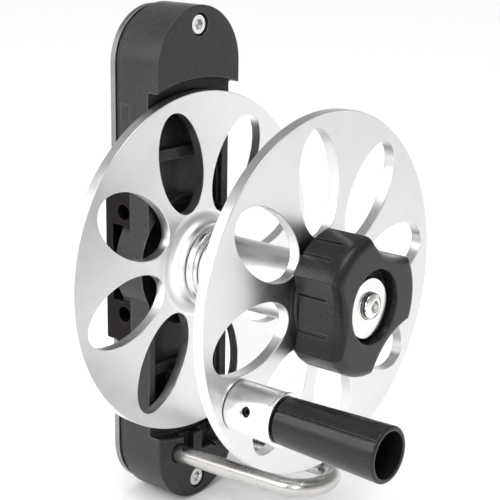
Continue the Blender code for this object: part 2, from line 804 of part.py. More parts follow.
def make_knob():
    """The drag knob with its brass insert, its loose washer and its button screw."""
    levels = (
        (KNOB_BACK, 0.8),
        (KNOB_BACK - 0.8, 0.0),
        (KNOB_FRONT + 4.0, 0.0),
        (KNOB_FRONT + 1.9, 0.7),
        (KNOB_FRONT + 0.6, 2.0),
        (KNOB_FRONT, 4.0),
    )
    bm = bmesh.new()
    stacked(bm, [[(x, y, z) for x, z in knob_outline(shrink)] for y, shrink in levels])
    knob = add("drag_knob", bm, BLACK)
    bm = bmesh.new()
    spun(
        bm,
        [
            (0.0, KNOB_FRONT - PAST),
            (KNOB_RECESS_R, KNOB_FRONT - PAST),
            (KNOB_RECESS_R, KNOB_RECESS_FLOOR),
            (INSERT_R + GAP, KNOB_RECESS_FLOOR),
            (INSERT_R + GAP, KNOB_CUP_FLOOR),
            (KNOB_CUP_R, KNOB_CUP_FLOOR),
            (KNOB_CUP_R, KNOB_BACK + PAST),
            (0.0, KNOB_BACK + PAST),
        ],
        ROUND,
    )
    cut(knob, bm, "cut_knob")
    insert = ring(AXLE_TIP_R + GAP, INSERT_R, KNOB_RECESS_FLOOR + 0.1, KNOB_CUP_FLOOR + 0.3, 0.4)
    lathe("knob_insert", insert, BRASS, steps=MID_ROUND)

    # The washer is loose on its screw and hangs a little low.
    lathe("knob_washer", ring(*WASHER_R, *WASHER_FACES, 0.3), STEEL, WASHER_DROP)
    profile = [
        (0.0, KNOB_SCREW_FRONT),
        (3.6, KNOB_SCREW_FRONT),
        (4.9, KNOB_SCREW_FRONT + 0.4),
        (5.6, KNOB_SCREW_FRONT + 1.2),
        (KNOB_SCREW_HEAD_R, KNOB_SCREW_SEAT),
        (KNOB_SCREW_R, KNOB_SCREW_SEAT),
        (KNOB_SCREW_R, KNOB_SCREW_TIP),
        (0.0, KNOB_SCREW_TIP),
    ]
    screw = lathe("knob_screw", profile, STEEL, steps=SMALL_ROUND)
    bm = bmesh.new()
    prism(bm, hexagon(4.0), KNOB_SCREW_FRONT - PAST, KNOB_SCREW_FRONT + 1.8)
    cut(screw, bm, "cut_knob_screw_key")


def make_crank(front_disc):
    """A ferrule on the front disc, a spindle through both and a grip that turns on the spindle."""
    crank = (CRANK_X, 0.0, CRANK_Z)
    disc_rear = FRONT_FACE + DISC_THICK
    bm = bmesh.new()
    spun(bm, rod(SPINDLE_BORE_R, FRONT_FACE - PAST, disc_rear + PAST), SMALL_ROUND, (CRANK_X, CRANK_Z))
    cut(front_disc, bm, "cut_crank_hole")
    profile = [
        (SPINDLE_BORE_R, FERRULE_FRONT),
        (FERRULE_R - 0.5, FERRULE_FRONT),
        (FERRULE_R, FERRULE_FRONT + 0.5),
        (FERRULE_R, FERRULE_FRONT + 1.7),
        (FERRULE_R - 0.4, FERRULE_FRONT + 2.0),
        (FERRULE_R - 0.7, FRONT_FACE - 2.7),
        (FERRULE_R - 0.6, FRONT_FACE - GAP),
        (SPINDLE_BORE_R, FRONT_FACE - GAP),
    ]
    ferrule = lathe("crank_ferrule", profile, ALUMINIUM, crank, steps=MID_ROUND)
    outward = Vector((math.cos(FERRULE_GRUB_TURN), 0.0, math.sin(FERRULE_GRUB_TURN)))
    tilt = Vector((0.0, 1.0, 0.0)).rotation_difference(-outward).to_euler()
    axis = Vector((CRANK_X, FERRULE_GRUB_Y, CRANK_Z))
    bm = bmesh.new()
    spun(bm, rod(1.9, 0.0, 10.4), TINY_ROUND)
    cut(ferrule, bm, "cut_ferrule_grub", axis + outward * 14.0, tilt)
    grub_screw("ferrule_grub_screw", axis + outward * 9.2, tilt, 1.6, 4.7, 1.5, STEEL)
    make_spindle(crank, disc_rear)
    make_grip(crank)


def make_spindle(crank, disc_rear):
    end = GRIP_CUP_FLOOR - GAP
    head = disc_rear + GAP
    profile = [
        (0.0, end),
        (SPINDLE_R, end),
        (SPINDLE_R, head),
        (SPINDLE_HEAD_R, head),
        (SPINDLE_HEAD_R, head + SPINDLE_HEAD_H - 0.4),
        (SPINDLE_HEAD_R - 0.4, head + SPINDLE_HEAD_H),
        (0.0, head + SPINDLE_HEAD_H),
    ]
    spindle = lathe("grip_spindle", profile, STEEL, crank, steps=SMALL_ROUND)
    bm = bmesh.new()
    spun(bm, rod(END_SHANK_R + GAP, end - PAST, end + 12.0), TINY_ROUND)
    cut(spindle, bm, "cut_spindle_bore", crank)
    rear = end - GAP
    washer = ring(*END_WASHER_R, rear - END_WASHER_THICK, rear)
    lathe("grip_end_washer", washer, STEEL, crank, steps=SMALL_ROUND)
    head_front = rear - END_WASHER_THICK - GAP - END_HEAD_H
    sizes = (END_HEAD_R, END_HEAD_H, END_SHANK_R, END_SHANK_LENGTH, 3.0)
    cap_screw("grip_end_screw", (CRANK_X, head_front, CRANK_Z), *sizes, STEEL)


def make_grip(crank):
    profile = [
        (SPINDLE_BORE_R, GRIP_BACK),
        (GRIP_BACK_R - 0.65, GRIP_BACK),
        (GRIP_BACK_R, GRIP_BACK - 0.7),
        (GRIP_FRONT_R, GRIP_FRONT + 1.4),
        (GRIP_FRONT_R - 0.16, GRIP_FRONT + 0.5),
        (GRIP_FRONT_R - 0.66, GRIP_FRONT),
        (GRIP_CUP_R + 0.5, GRIP_FRONT),
        (GRIP_CUP_R, GRIP_FRONT + 0.6),
        (GRIP_CUP_R, GRIP_CUP_FLOOR),
        (SPINDLE_BORE_R, GRIP_CUP_FLOOR),
    ]
    lathe("crank_grip", profile, BLACK, crank, steps=MID_ROUND)


def make_line_guide():
    """One bent rod. Its legs sit in the lower block, each held by a grub screw from below."""
    bend = (BODY_FRONT - BAIL_BEND_Y) / math.cos(SLOPE)
    path = [(Vector((-BAIL_X, BAIL_TAIL, 0.0)), Vector((0.0, -1.0, 0.0)))]
    for i in range(BEND_STEPS + 1):
        a = math.pi * (1.0 + i / BEND_STEPS)
        spot = Vector((BAIL_X * math.cos(a), -bend + BAIL_X * math.sin(a), 0.0))
        path.append((spot, Vector((-math.sin(a), math.cos(a), 0.0))))
    path.append((Vector((BAIL_X, BAIL_TAIL, 0.0)), Vector((0.0, 1.0, 0.0))))
    up = Vector((0.0, 0.0, 1.0))
    turn = [math.tau * i / ROD_ROUND for i in range(ROD_ROUND)]
    loops = []
    for spot, along in path:
        side = along.cross(up)
        loops.append([spot + (side * math.cos(a) + up * math.sin(a)) * ROD_R for a in turn])
    bm = bmesh.new()
    stacked(bm, loops)
    add("line_guide", bm, STEEL, (0.0, BODY_FRONT, BAIL_ROOT_Z), (-SLOPE, 0.0, 0.0))
    for index, side in ((1, -1.0), (2, 1.0)):
        place = (side * BAIL_X, GRUB_Y, GRUB_TOP_Z - GRUB_LENGTH - 0.2)
        up_tilt = (math.pi / 2, 0.0, 0.0)
        grub_screw(f"guide_grub_screw_{index}", place, up_tilt, GRUB_R, GRUB_LENGTH, 2.0, STEEL)


make_body()
make_saddle()
make_back_plate("upper_back_plate", 1.0)
make_back_plate("lower_back_plate", -1.0)
make_block_screw("upper", 1.0)
make_block_screw("lower", -1.0)
make_axle()
rear_disc = make_disc("rear_disc", 0.0, REAR_HOLES)
front_disc = make_disc("front_disc", FRONT_FACE, FRONT_HOLES)
drum = make_drum()
flange = make_hub()
make_hold_screws("hub_screw", (rear_disc, flange), DISC_THICK, -1.0, HUB_SCREWS_R, HUB_SCREWS_START)
make_hold_screws("drum_screw", (front_disc, drum), FRONT_FACE, 1.0, DRUM_SCREWS_R, DRUM_SCREWS_START)
make_drag()
make_knob()
make_crank(front_disc)
make_line_guide()
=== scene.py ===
"""Looks for the hand line reel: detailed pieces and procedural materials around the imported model.

Shapes are worked out in millimetres in the spool frame: the spool turns about Y, -Y is the front, +Z is up
and y = 0 is the front face of the rear disc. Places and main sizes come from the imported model's boxes.
"""

import json
import math

import bmesh
import bpy
from mathutils import Matrix, Vector


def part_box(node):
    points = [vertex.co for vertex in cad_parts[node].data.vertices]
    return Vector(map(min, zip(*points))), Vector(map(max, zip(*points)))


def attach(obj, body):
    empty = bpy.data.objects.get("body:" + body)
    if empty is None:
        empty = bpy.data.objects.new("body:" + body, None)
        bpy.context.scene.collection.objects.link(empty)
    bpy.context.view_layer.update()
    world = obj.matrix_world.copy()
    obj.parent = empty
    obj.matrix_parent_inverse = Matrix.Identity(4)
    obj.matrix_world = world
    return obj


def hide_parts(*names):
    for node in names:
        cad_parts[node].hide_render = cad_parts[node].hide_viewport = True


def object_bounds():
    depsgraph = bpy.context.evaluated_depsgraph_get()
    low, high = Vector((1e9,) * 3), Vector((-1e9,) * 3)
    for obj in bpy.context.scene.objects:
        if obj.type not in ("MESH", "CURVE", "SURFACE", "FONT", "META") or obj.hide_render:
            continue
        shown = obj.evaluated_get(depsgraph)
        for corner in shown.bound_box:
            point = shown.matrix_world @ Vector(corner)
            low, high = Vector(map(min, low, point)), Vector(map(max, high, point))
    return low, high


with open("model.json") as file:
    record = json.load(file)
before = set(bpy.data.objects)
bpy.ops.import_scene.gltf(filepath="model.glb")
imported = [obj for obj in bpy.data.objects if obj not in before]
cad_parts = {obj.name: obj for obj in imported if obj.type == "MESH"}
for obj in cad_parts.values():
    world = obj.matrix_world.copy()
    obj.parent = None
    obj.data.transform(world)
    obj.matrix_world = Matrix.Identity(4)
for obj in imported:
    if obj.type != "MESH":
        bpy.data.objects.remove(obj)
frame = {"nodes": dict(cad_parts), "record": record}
CAD_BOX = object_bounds()

MM = 0.001
BASE = Vector((0.0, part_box("rear_disc")[0].y, 0.0))
# Steps round a circle, from the large ones to the screw holes.
FINE = 192
ROUND = 96
SMALL = 48
TINY = 24
# The clearance round a fitted piece, and how far a cutter runs past the faces it opens.
GAP = 0.3
PAST = 1.0


def span(node):
    """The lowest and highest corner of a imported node, in millimetres of the spool frame."""
    low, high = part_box(node)
    return (low - BASE) / MM, (high - BASE) / MM


def middle(node):
    low, high = span(node)
    return (low + high) / 2


# ---------------------------------------------------------------- shapes


def arc(radius, start, end, steps, centre=(0.0, 0.0)):
    """Points of an arc, angles in degrees."""
    points = []
    for i in range(steps + 1):
        a = math.radians(start + (end - start) * i / steps)
        points.append((centre[0] + radius * math.cos(a), centre[1] + radius * math.sin(a)))
    return points


def circle(radius, count):
    return arc(radius, 0.0, 360.0 - 360.0 / count, count - 1)


def softened(corners, steps=5):
    """A closed outline from (u, v) or (u, v, radius) corners, where a radius rounds its corner."""
    points = []
    for i, corner in enumerate(corners):
        here = Vector(corner[:2])
        if len(corner) == 2:
            points.append(tuple(here))
            continue
        back = (Vector(corners[i - 1][:2]) - here).normalized()
        on = (Vector(corners[(i + 1) % len(corners)][:2]) - here).normalized()
        half = back.angle(on) / 2
        centre = here + (back + on).normalized() * (corner[2] / math.sin(half))
        reach = corner[2] / math.tan(half)
        first, last = here + back * reach - centre, here + on * reach - centre
        sweep = first.angle(last)
        for k in range(steps + 1):
            t = k / steps
            way = first * math.sin((1 - t) * sweep) + last * math.sin(t * sweep)
            points.append(tuple(centre + way / math.sin(sweep)))
    return points


def quarter(radius, steps=5):
    """(inset, depth) pairs of a rounded edge, from the face to the side."""
    turns = [math.pi / 2 * k / steps for k in range(steps + 1)]
    return [(radius * (1 - math.sin(a)), radius * (1 - math.cos(a))) for a in turns]


def mouth(depth_sign, face, radius, steps=4):
    """(y, growth) pairs for a cutter that leaves a rounded edge of this radius where it enters a face.

    The rounding starts a little inside its quarter turn, so that the cutter crosses the face steeply.
    """
    first, sweep = 12.0, 78.0
    pairs = []
    for k in range(steps + 1):
        a = math.radians(first + sweep * k / steps)
        pairs.append((face + depth_sign * radius * (1 - math.cos(a)), radius * (1 - math.sin(a))))
    return [(face - depth_sign * 2.0, pairs[0][1])] + pairs


def through(front, rear, edge):
    """(y, growth) pairs for a cutter with a rounded edge at both faces."""
    return mouth(1.0, front, edge) + mouth(-1.0, rear, edge)[::-1]


def skin(bm, rings, wrap):
    """Faces from each ring of vertices to the next: the last joins the first, or both ends close."""
    pairs = list(zip(rings, rings[1:]))
    if wrap:
        pairs.append((rings[-1], rings[0]))
    for low, high in pairs:
        for i in range(len(low)):
            j = (i + 1) % len(low)
            corners = list(dict.fromkeys((low[i], low[j], high[j], high[i])))
            if len(corners) > 2:
                bm.faces.new(corners)
    if not wrap:
        bm.faces.new(rings[0])
        bm.faces.new(rings[-1])


def ringed(bm, loops, wrap=False):
    """The same from loops of points, all of one length."""
    skin(bm, [[bm.verts.new(p) for p in loop] for loop in loops], wrap)


def turned(corners, steps=ROUND, centre=(0.0, 0.0), bm=None):
    """A closed (radius, y) outline turned round the Y axis through centre (x, z)."""
    bm = bm or bmesh.new()
    turn = [math.tau * i / steps for i in range(steps)]
    rings = []
    for r, y in softened(corners):
        if r < 1e-6:
            rings.append([bm.verts.new((centre[0], y, centre[1]))] * steps)
        else:
            ring = [(centre[0] + r * math.cos(a), y, centre[1] + r * math.sin(a)) for a in turn]
            rings.append([bm.verts.new(p) for p in ring])
    skin(bm, rings, wrap=True)
    return bm


def plug(radius, front, rear, centre=(0.0, 0.0), steps=SMALL, bm=None):
    """A plain round cutter along Y."""
    return turned([(0.0, front), (radius, front), (radius, rear), (0.0, rear)], steps, centre, bm)


def prism(outline, front, rear, edge=0.0):
    """An outline function of an inset, drawn out along Y, with its edges rounded."""
    levels = [(front, 0.0), (rear, 0.0)]
    if edge:
        levels = [(front + d, o) for o, d in quarter(edge, 4)]
        levels += [(rear - d, o) for o, d in reversed(quarter(edge, 4))]
    bm = bmesh.new()
    ringed(bm, [[(x, y, z) for x, z in outline(inset)] for y, inset in levels])
    return bm


LEAST_CORNER = 0.05


def rounded(xs, zs, corner, steps=8):
    """An outline function: a rectangle in x and z with round corners, smaller by an inset."""

    def outline(inset=0.0):
        points = []
        r = max(corner - inset, LEAST_CORNER)
        extra = LEAST_CORNER - (corner - inset)
        for k, (x, z) in enumerate(((xs[1], zs[1]), (xs[0], zs[1]), (xs[0], zs[0]), (xs[1], zs[0]))):
            cx = x - math.copysign(corner, x - sum(xs) / 2)
            cz = z - math.copysign(corner, z - sum(zs) / 2)
            if extra > 0.0:
                cx -= math.copysign(extra, x - sum(xs) / 2)
                cz -= math.copysign(extra, z - sum(zs) / 2)
            points += arc(r, 90.0 * k, 90.0 * k + 90.0, steps, (cx, cz))
        return points

    return outline


def scratch(bm):
    """A temporary object for a Boolean."""
    mesh = bpy.data.meshes.new("scratch")
    bmesh.ops.recalc_face_normals(bm, faces=bm.faces)
    bm.to_mesh(mesh)
    bm.free()
    obj = bpy.data.objects.new("scratch", mesh)
    bpy.context.scene.collection.objects.link(obj)
    return obj


def carved(bm, cutter, operation="DIFFERENCE"):
    """The first mesh with the second taken away from it or joined to it, as a new mesh."""
    target, tool = scratch(bm), scratch(cutter)
    modifier = target.modifiers.new("carve", "BOOLEAN")
    modifier.operation = operation
    modifier.solver = "EXACT"
    modifier.object = tool
    graph = bpy.context.evaluated_depsgraph_get()
    out = bmesh.new()
    out.from_mesh(target.evaluated_get(graph).to_mesh())
    for obj in (target, tool):
        mesh = obj.data
        bpy.data.objects.remove(obj)
        bpy.data.meshes.remove(mesh)
    return out


WELD = 1e-4
SHARP_ANGLE = math.radians(32.0)
NORMAL_WEIGHT = 80


def piece(name, bm, mat, body, nodes, at=(0.0, 0.0, 0.0)):
    """One finished piece from a mesh in millimetres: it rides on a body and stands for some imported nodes."""
    bmesh.ops.remove_doubles(bm, verts=bm.verts, dist=WELD)
    bmesh.ops.recalc_face_normals(bm, faces=bm.faces)
    bmesh.ops.scale(bm, vec=(MM, MM, MM), verts=bm.verts)
    mesh = bpy.data.meshes.new(name)
    bm.to_mesh(mesh)
    bm.free()
    mesh.shade_smooth()
    mesh.set_sharp_from_angle(angle=SHARP_ANGLE)
    mesh.materials.append(mat)
    obj = bpy.data.objects.new(name, mesh)
    bpy.context.scene.collection.objects.link(obj)
    obj.location = BASE + Vector(at) * MM
    even = obj.modifiers.new("even_normals", "WEIGHTED_NORMAL")
    even.keep_sharp = True
    even.weight = NORMAL_WEIGHT
    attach(obj, body)
    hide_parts(*nodes)


# ---------------------------------------------------------------- materials


def grey(level):
    return (level, level, level)


def fresh(name):
    mat = bpy.data.materials.new(name)
    mat.use_nodes = True
    return mat


def node(mat, kind, links=None, **settings):
    """A shader node: settings are its properties, links are its input sockets' values or sources."""
    made = mat.node_tree.nodes.new("ShaderNode" + kind)
    for key, value in settings.items():
        setattr(made, key, value)
    feed(mat, made, links or {})
    return made


def feed(mat, made, links):
    """Sets input sockets from values, or links them to other nodes' outputs."""
    for key, value in links.items():
        if isinstance(value, bpy.types.NodeSocket):
            mat.node_tree.links.new(value, made.inputs[key])
        else:
            made.inputs[key].default_value = value


def noise(mat, where, scale, detail=3.0, rough=0.55):
    made = node(mat, "TexNoise", {"Vector": where, "Scale": scale, "Detail": detail, "Roughness": rough})
    return made.outputs["Fac"]


def ramp(mat, source, low, high, out_low=0.0, out_high=1.0):
    made = node(
        mat,
        "MapRange",
        {"Value": source, "From Min": low, "From Max": high, "To Min": out_low, "To Max": out_high},
        interpolation_type="SMOOTHSTEP",
    )
    return made.outputs["Result"]


def maths(mat, operation, a, b):
    made = node(mat, "Math", {0: a, 1: b}, operation=operation)
    return made.outputs[0]


def mixed(mat, factor, dark, light):
    """A colour between two: each is three numbers or another node's output."""
    ends = [(*c, 1.0) if isinstance(c, tuple) else c for c in (dark, light)]
    made = node(mat, "Mix", data_type="RGBA")
    feed(mat, made, {0: factor, 6: ends[0], 7: ends[1]})
    return made.outputs[2]


def here(mat):
    return node(mat, "TexCoord").outputs["Object"]


def edges(mat, radius):
    """1 on rounded or sharp outer edges, 0 on the flats: where handling wears a surface, and where a highlight
    is painted.
    """
    soft = node(mat, "Bevel", {"Radius": radius}, samples=6).outputs["Normal"]
    true = node(mat, "NewGeometry").outputs["Normal"]
    agree = node(mat, "VectorMath", {0: soft, 1: true}, operation="DOT_PRODUCT").outputs["Value"]
    return ramp(mat, agree, 0.995, 0.93)


def spoke(mat, where):
    """The distance from the piece's Y axis, and the place along it."""
    parts = node(mat, "SeparateXYZ", {0: where})
    flat = node(mat, "CombineXYZ", {0: parts.outputs[0], 1: parts.outputs[2]}).outputs[0]
    return node(mat, "VectorMath", {0: flat}, operation="LENGTH").outputs["Value"], parts.outputs[1]


def bump(mat, height, depth):
    return node(mat, "Bump", {"Height": height, "Strength": 1.0, "Distance": depth}).outputs["Normal"]


# The grey that hollows and the gaps between parts are painted towards: painted shade.
PAINTED_SHADE_GREY = 0.003
GRAIN_DEPTH = 0.00002


def plastic(name, dark, light, rough_low, rough_high, shine, edge_wear_and_highlight_grey, grain=2600.0):
    """Moulded plastic: fine texture, cloudy sheen, edges painted lighter and made smoother as wear and as a
    painted highlight, hollows and the gaps between parts painted darker and duller as shade.
    """
    mat = fresh(name)
    where = here(mat)
    cloud = noise(mat, where, 55.0, 4.0)
    edge_wear_and_highlight = edges(mat, 0.0007)
    fleck = ramp(mat, noise(mat, where, 900.0, 2.0), 0.35, 0.75)
    tone = maths(mat, "ADD", maths(mat, "MULTIPLY", fleck, 0.4), maths(mat, "MULTIPLY", cloud, 0.5))
    # Edges painted lighter in patches: partly wear from handling, partly a painted highlight.
    worn_and_highlit = maths(mat, "MULTIPLY", edge_wear_and_highlight, ramp(mat, noise(mat, where, 210.0, 3.0), 0.3, 0.6, 0.45, 1.0))
    # Ambient occlusion paints shade into hollows and the gaps between parts: a darker colour here and a weaker
    # reflection below.
    open_air = node(mat, "AmbientOcclusion", {"Distance": 0.02}, samples=6).outputs["AO"]
    outside_painted_shade = ramp(mat, open_air, 0.1, 0.75, 0.2, 1.0)
    colour = mixed(mat, worn_and_highlit, mixed(mat, tone, dark, light), grey(edge_wear_and_highlight_grey))
    colour = mixed(mat, outside_painted_shade, grey(PAINTED_SHADE_GREY), colour)
    sheen = ramp(mat, cloud, 0.3, 0.7, rough_low, rough_high)
    rough = maths(mat, "SUBTRACT", sheen, maths(mat, "MULTIPLY", edge_wear_and_highlight, 0.08))
    fine = noise(mat, where, grain, 2.0, 0.7)
    shader = mat.node_tree.nodes["Principled BSDF"]
    feed(mat, shader, {"Base Color": colour, "Roughness": rough, "Normal": bump(mat, fine, GRAIN_DEPTH)})
    shader.inputs["IOR"].default_value = 1.5
    # The reflection is weakened where the shade is painted.
    feed(mat, shader, {"Specular IOR Level": maths(mat, "MULTIPLY", outside_painted_shade, shine)})
    return mat


def lathed(name, dark, light, rough_low, rough_high, lines=9000.0, depth=0.000003, grip=0.45):
    """Metal turned or brushed round the piece's Y axis: rings of fine lines, cloudy tone, edges painted
    brighter as wear and as a painted highlight.
    """
    mat = fresh(name)
    where = here(mat)
    radius, along = spoke(mat, where)
    slide = maths(mat, "ADD", radius, maths(mat, "MULTIPLY", along, 0.83))
    ring = node(
        mat,
        "TexNoise",
        {"W": maths(mat, "MULTIPLY", slide, lines), "Scale": 1.0, "Detail": 3.0, "Roughness": 0.7},
        noise_dimensions="1D",
    ).outputs["Fac"]
    cloud = noise(mat, where, 38.0, 3.0)
    edge_wear_and_highlight = edges(mat, 0.0005)
    patch = ramp(mat, noise(mat, where, 140.0, 2.0), 0.3, 0.7, 0.35, 1.0)
    line = maths(mat, "MULTIPLY", ring, patch)
    tone = maths(mat, "ADD", maths(mat, "MULTIPLY", line, 0.5), maths(mat, "MULTIPLY", cloud, 0.45))
    # Edges painted brighter: partly wear, partly a painted highlight.
    colour = mixed(mat, maths(mat, "ADD", tone, maths(mat, "MULTIPLY", edge_wear_and_highlight, 0.5)), dark, light)
    sheen = ramp(mat, tone, 0.2, 0.7, rough_low, rough_high)
    rough = maths(mat, "SUBTRACT", sheen, maths(mat, "MULTIPLY", edge_wear_and_highlight, 0.1))
    shader = mat.node_tree.nodes["Principled BSDF"]
    tangent = node(mat, "Tangent", direction_type="RADIAL", axis="Y").outputs["Tangent"]
    feed(
        mat,
        shader,
        {"Base Color": colour, "Roughness": rough, "Normal": bump(mat, line, depth), "Tangent": tangent},
    )
    shader.inputs["Metallic"].default_value = 1.0
    shader.inputs["Anisotropic"].default_value = grip
    return mat


def grained(name, dark, light, rough_low, rough_high, grain, depth, metallic=1.0):
    """An even, speckled surface: blasted metal, sintered bronze or friction fibre."""
    mat = fresh(name)
    where = here(mat)
    speck = noise(mat, where, grain, 3.0, 0.65)
    cloud = noise(mat, where, 45.0, 3.0)
    edge_wear_and_highlight = edges(mat, 0.0006)
    tone = maths(mat, "ADD", maths(mat, "MULTIPLY", speck, 0.6), maths(mat, "MULTIPLY", cloud, 0.4))
    # Edges painted lighter: partly wear, partly a painted highlight.
    shade = maths(mat, "ADD", ramp(mat, tone, 0.3, 0.7), maths(mat, "MULTIPLY", edge_wear_and_highlight, 0.4))
    colour = mixed(mat, shade, dark, light)
    rough = ramp(mat, tone, 0.3, 0.7, rough_high, rough_low)
    shader = mat.node_tree.nodes["Principled BSDF"]
    feed(mat, shader, {"Base Color": colour, "Roughness": rough, "Normal": bump(mat, speck, depth)})
    shader.inputs["Metallic"].default_value = metallic
    return mat


# In each plastic, the number after the shine is the grey its edges are painted towards: partly wear, partly a
# painted highlight.
BLACK = plastic("moulded_black", (0.020, 0.020, 0.0204), (0.045, 0.045, 0.046), 0.24, 0.36, 0.24, 0.11)
KNOB_BLACK = plastic("grip_black", (0.006, 0.006, 0.0062), (0.020, 0.020, 0.0205), 0.2, 0.32, 0.32, 0.06)
BROWN = plastic(
    "saddle_black", (0.005, 0.004, 0.0035), (0.014, 0.0115, 0.010), 0.34, 0.48, 0.08, 0.05, grain=1800.0
)
DISC = lathed("disc_aluminium", grey(0.76), grey(0.92), 0.28, 0.42, grip=0.35)
# The front disc has the rear disc's aluminium, painted darker: painted shade that holds down how bright the
# front disc is lit.
FRONT_DISC_PAINTED_DARKER = lathed("front_disc_aluminium_painted_darker", grey(0.66), grey(0.82), 0.28, 0.4, grip=0.35)
TURNED = lathed("turned_aluminium", grey(0.84), grey(0.96), 0.24, 0.36)
SATIN = lathed("satin_aluminium", grey(0.80), grey(0.95), 0.36, 0.5, 4000.0, 0.000005, 0.6)
STEEL = lathed("stainless_steel", (0.74, 0.73, 0.72), (0.93, 0.92, 0.91), 0.14, 0.26, 5000.0, 0.000002)
# The drum's satin steel is painted lighter than the stainless steel: painted light on the drum, which sits in
# the shade between the discs.
DRUM_STEEL_PAINTED_LIGHTER = lathed("drum_steel_painted_lighter", (0.86, 0.85, 0.84), (0.97, 0.96, 0.95), 0.3, 0.42, 3000.0, 0.000002)
# The line guide's stainless steel is painted darker and warmer: a painted reflection of the dark body and
# saddle.
GUIDE_STEEL_PAINTED_REFLECTION = lathed("guide_steel_painted_reflection", (0.44, 0.43, 0.415), (0.68, 0.665, 0.65), 0.24, 0.36, 1500.0, 0.000001, 0.0)
OXIDE = grained("black_oxide", (0.02, 0.02, 0.021), (0.06, 0.06, 0.062), 0.3, 0.45, 2600.0, 0.000004)
PLATE = grained("plate_aluminium", (0.22, 0.22, 0.23), (0.34, 0.34, 0.35), 0.38, 0.55, 3200.0, 0.000012)
BRONZE = grained("bearing_bronze", (0.36, 0.22, 0.09), (0.58, 0.40, 0.18), 0.30, 0.50, 2600.0, 0.00001)
BRASS = lathed("insert_brass", (0.52, 0.38, 0.14), (0.76, 0.60, 0.28), 0.20, 0.34)
FIBRE = grained("friction_fibre", grey(0.014), (0.045, 0.044, 0.043), 0.7, 0.9, 1500.0, 0.00004, 0.0)

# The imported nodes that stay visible, by the slot that the record names.
OWN = {
    "stainless_steel": STEEL,
    "bronze": BRONZE,
    "brass": BRASS,
    "friction_fibre": FIBRE,
    "moulded_black": BLACK,
    "saddle_black": BROWN,
    "plate_aluminium": PLATE,
    "disc_aluminium": TURNED,
}
for part in frame["record"]["subparts"]:
    kept = frame["nodes"][part["node"]]
    kept.data.materials.clear()
    kept.data.materials.append(OWN[part["material_slot"]])


# ---------------------------------------------------------------- discs and hub

DISC_R = span("rear_disc")[1].x
DISC_EDGE = 0.4
HOLE_COUNT = 8
HOLE_EDGE = 0.35
REAR_HOLES = {"phase": 15.0, "at": 46.8, "radial": 22.8, "across": 13.1}
FRONT_HOLES = {"phase": 8.5, "at": 47.5, "radial": 22.5, "across": 12.7}
BORE_R = 6.6
SCREW_ROOM_R = 2.9
SCREW_HOLE_R = 1.5
SCREW_SINK = 2.4
CRANK = middle("grip_spindle")
SPINDLE_ROOM_R = 4.3


def disc(name, mat, holes, screws, screw_face, spindle_room=None):
    """A pierced disc. The screws' countersinks are in its front or rear face."""
    front, rear = span(name)[0].y, span(name)[1].y
    bm = turned(
        [(BORE_R, front), (DISC_R, front, DISC_EDGE), (DISC_R, rear, DISC_EDGE), (BORE_R, rear)],
        FINE * 2,
    )
    cutter = bmesh.new()
    for k in range(HOLE_COUNT):
        turn = Matrix.Rotation(math.radians(holes["phase"] + 360.0 * k / HOLE_COUNT), 2)
        loops = []
        for y, growth in through(front, rear, HOLE_EDGE):
            loop = []
            for cos_a, sin_a in circle(1.0, FINE):
                out = holes["at"] + (holes["radial"] + growth) * cos_a
                x, z = turn @ Vector((out, (holes["across"] + growth) * sin_a))
                loop.append((x, y, z))
            loops.append(loop)
        ringed(cutter, loops)
    if screw_face == "front":
        mouth_y, sink_y, past, far = front, front + SCREW_SINK, front - PAST, rear + PAST
    else:
        mouth_y, sink_y, past, far = rear, rear - SCREW_SINK, rear + PAST, front - PAST
    for screw in screws:
        x, _, z = middle(screw)
        profile = [(0.0, past), (SCREW_ROOM_R, past), (SCREW_ROOM_R, mouth_y), (SCREW_HOLE_R, sink_y)]
        turned(profile + [(SCREW_HOLE_R, far), (0.0, far)], SMALL, (x, z), cutter)
    if spindle_room:
        plug(spindle_room, front - PAST, rear + PAST, (CRANK.x, CRANK.z), bm=cutter)
    piece(name + "_plate", carved(bm, cutter), mat, "spool", [name])


HUB_SCREWS = [f"hub_screw_{k}" for k in range(1, 5)]
DRUM_SCREWS = [f"drum_screw_{k}" for k in range(1, 5)]
disc("rear_disc", DISC, REAR_HOLES, HUB_SCREWS, "rear")
disc("front_disc", FRONT_DISC_PAINTED_DARKER, FRONT_HOLES, DRUM_SCREWS, "front", SPINDLE_ROOM_R)

# The drum: a tube with a bush in each end and a groove for the retaining ring.
DRUM_BORE_R = 7.4
BUSH_SEAT_R = 8.6
BUSH_SEAT = 13.0
RING_GROOVE_R = 13.9
RING_GROOVE = (-11.6, -9.9)
DRUM_SCREW_DEPTH = 5.0
low, high = span("drum")
DRUM_R = high.x
bm = turned(
    [
        (DRUM_BORE_R, low.y + BUSH_SEAT),
        (BUSH_SEAT_R, low.y + BUSH_SEAT),
        (BUSH_SEAT_R, low.y, 0.3),
        (DRUM_R, low.y, 0.4),
        (DRUM_R, RING_GROOVE[0], 0.15),
        (RING_GROOVE_R, RING_GROOVE[0]),
        (RING_GROOVE_R, RING_GROOVE[1]),
        (DRUM_R, RING_GROOVE[1], 0.15),
        (DRUM_R, high.y, 0.3),
        (BUSH_SEAT_R, high.y, 0.3),
        (BUSH_SEAT_R, high.y - BUSH_SEAT),
        (DRUM_BORE_R, high.y - BUSH_SEAT),
    ],
    FINE,
)
cutter = bmesh.new()
for screw in DRUM_SCREWS:
    x, _, z = middle(screw)
    plug(SCREW_HOLE_R, low.y - PAST, low.y + DRUM_SCREW_DEPTH, (x, z), TINY, cutter)
piece("drum_tube", carved(bm, cutter), DRUM_STEEL_PAINTED_LIGHTER, "spool", ["drum"])

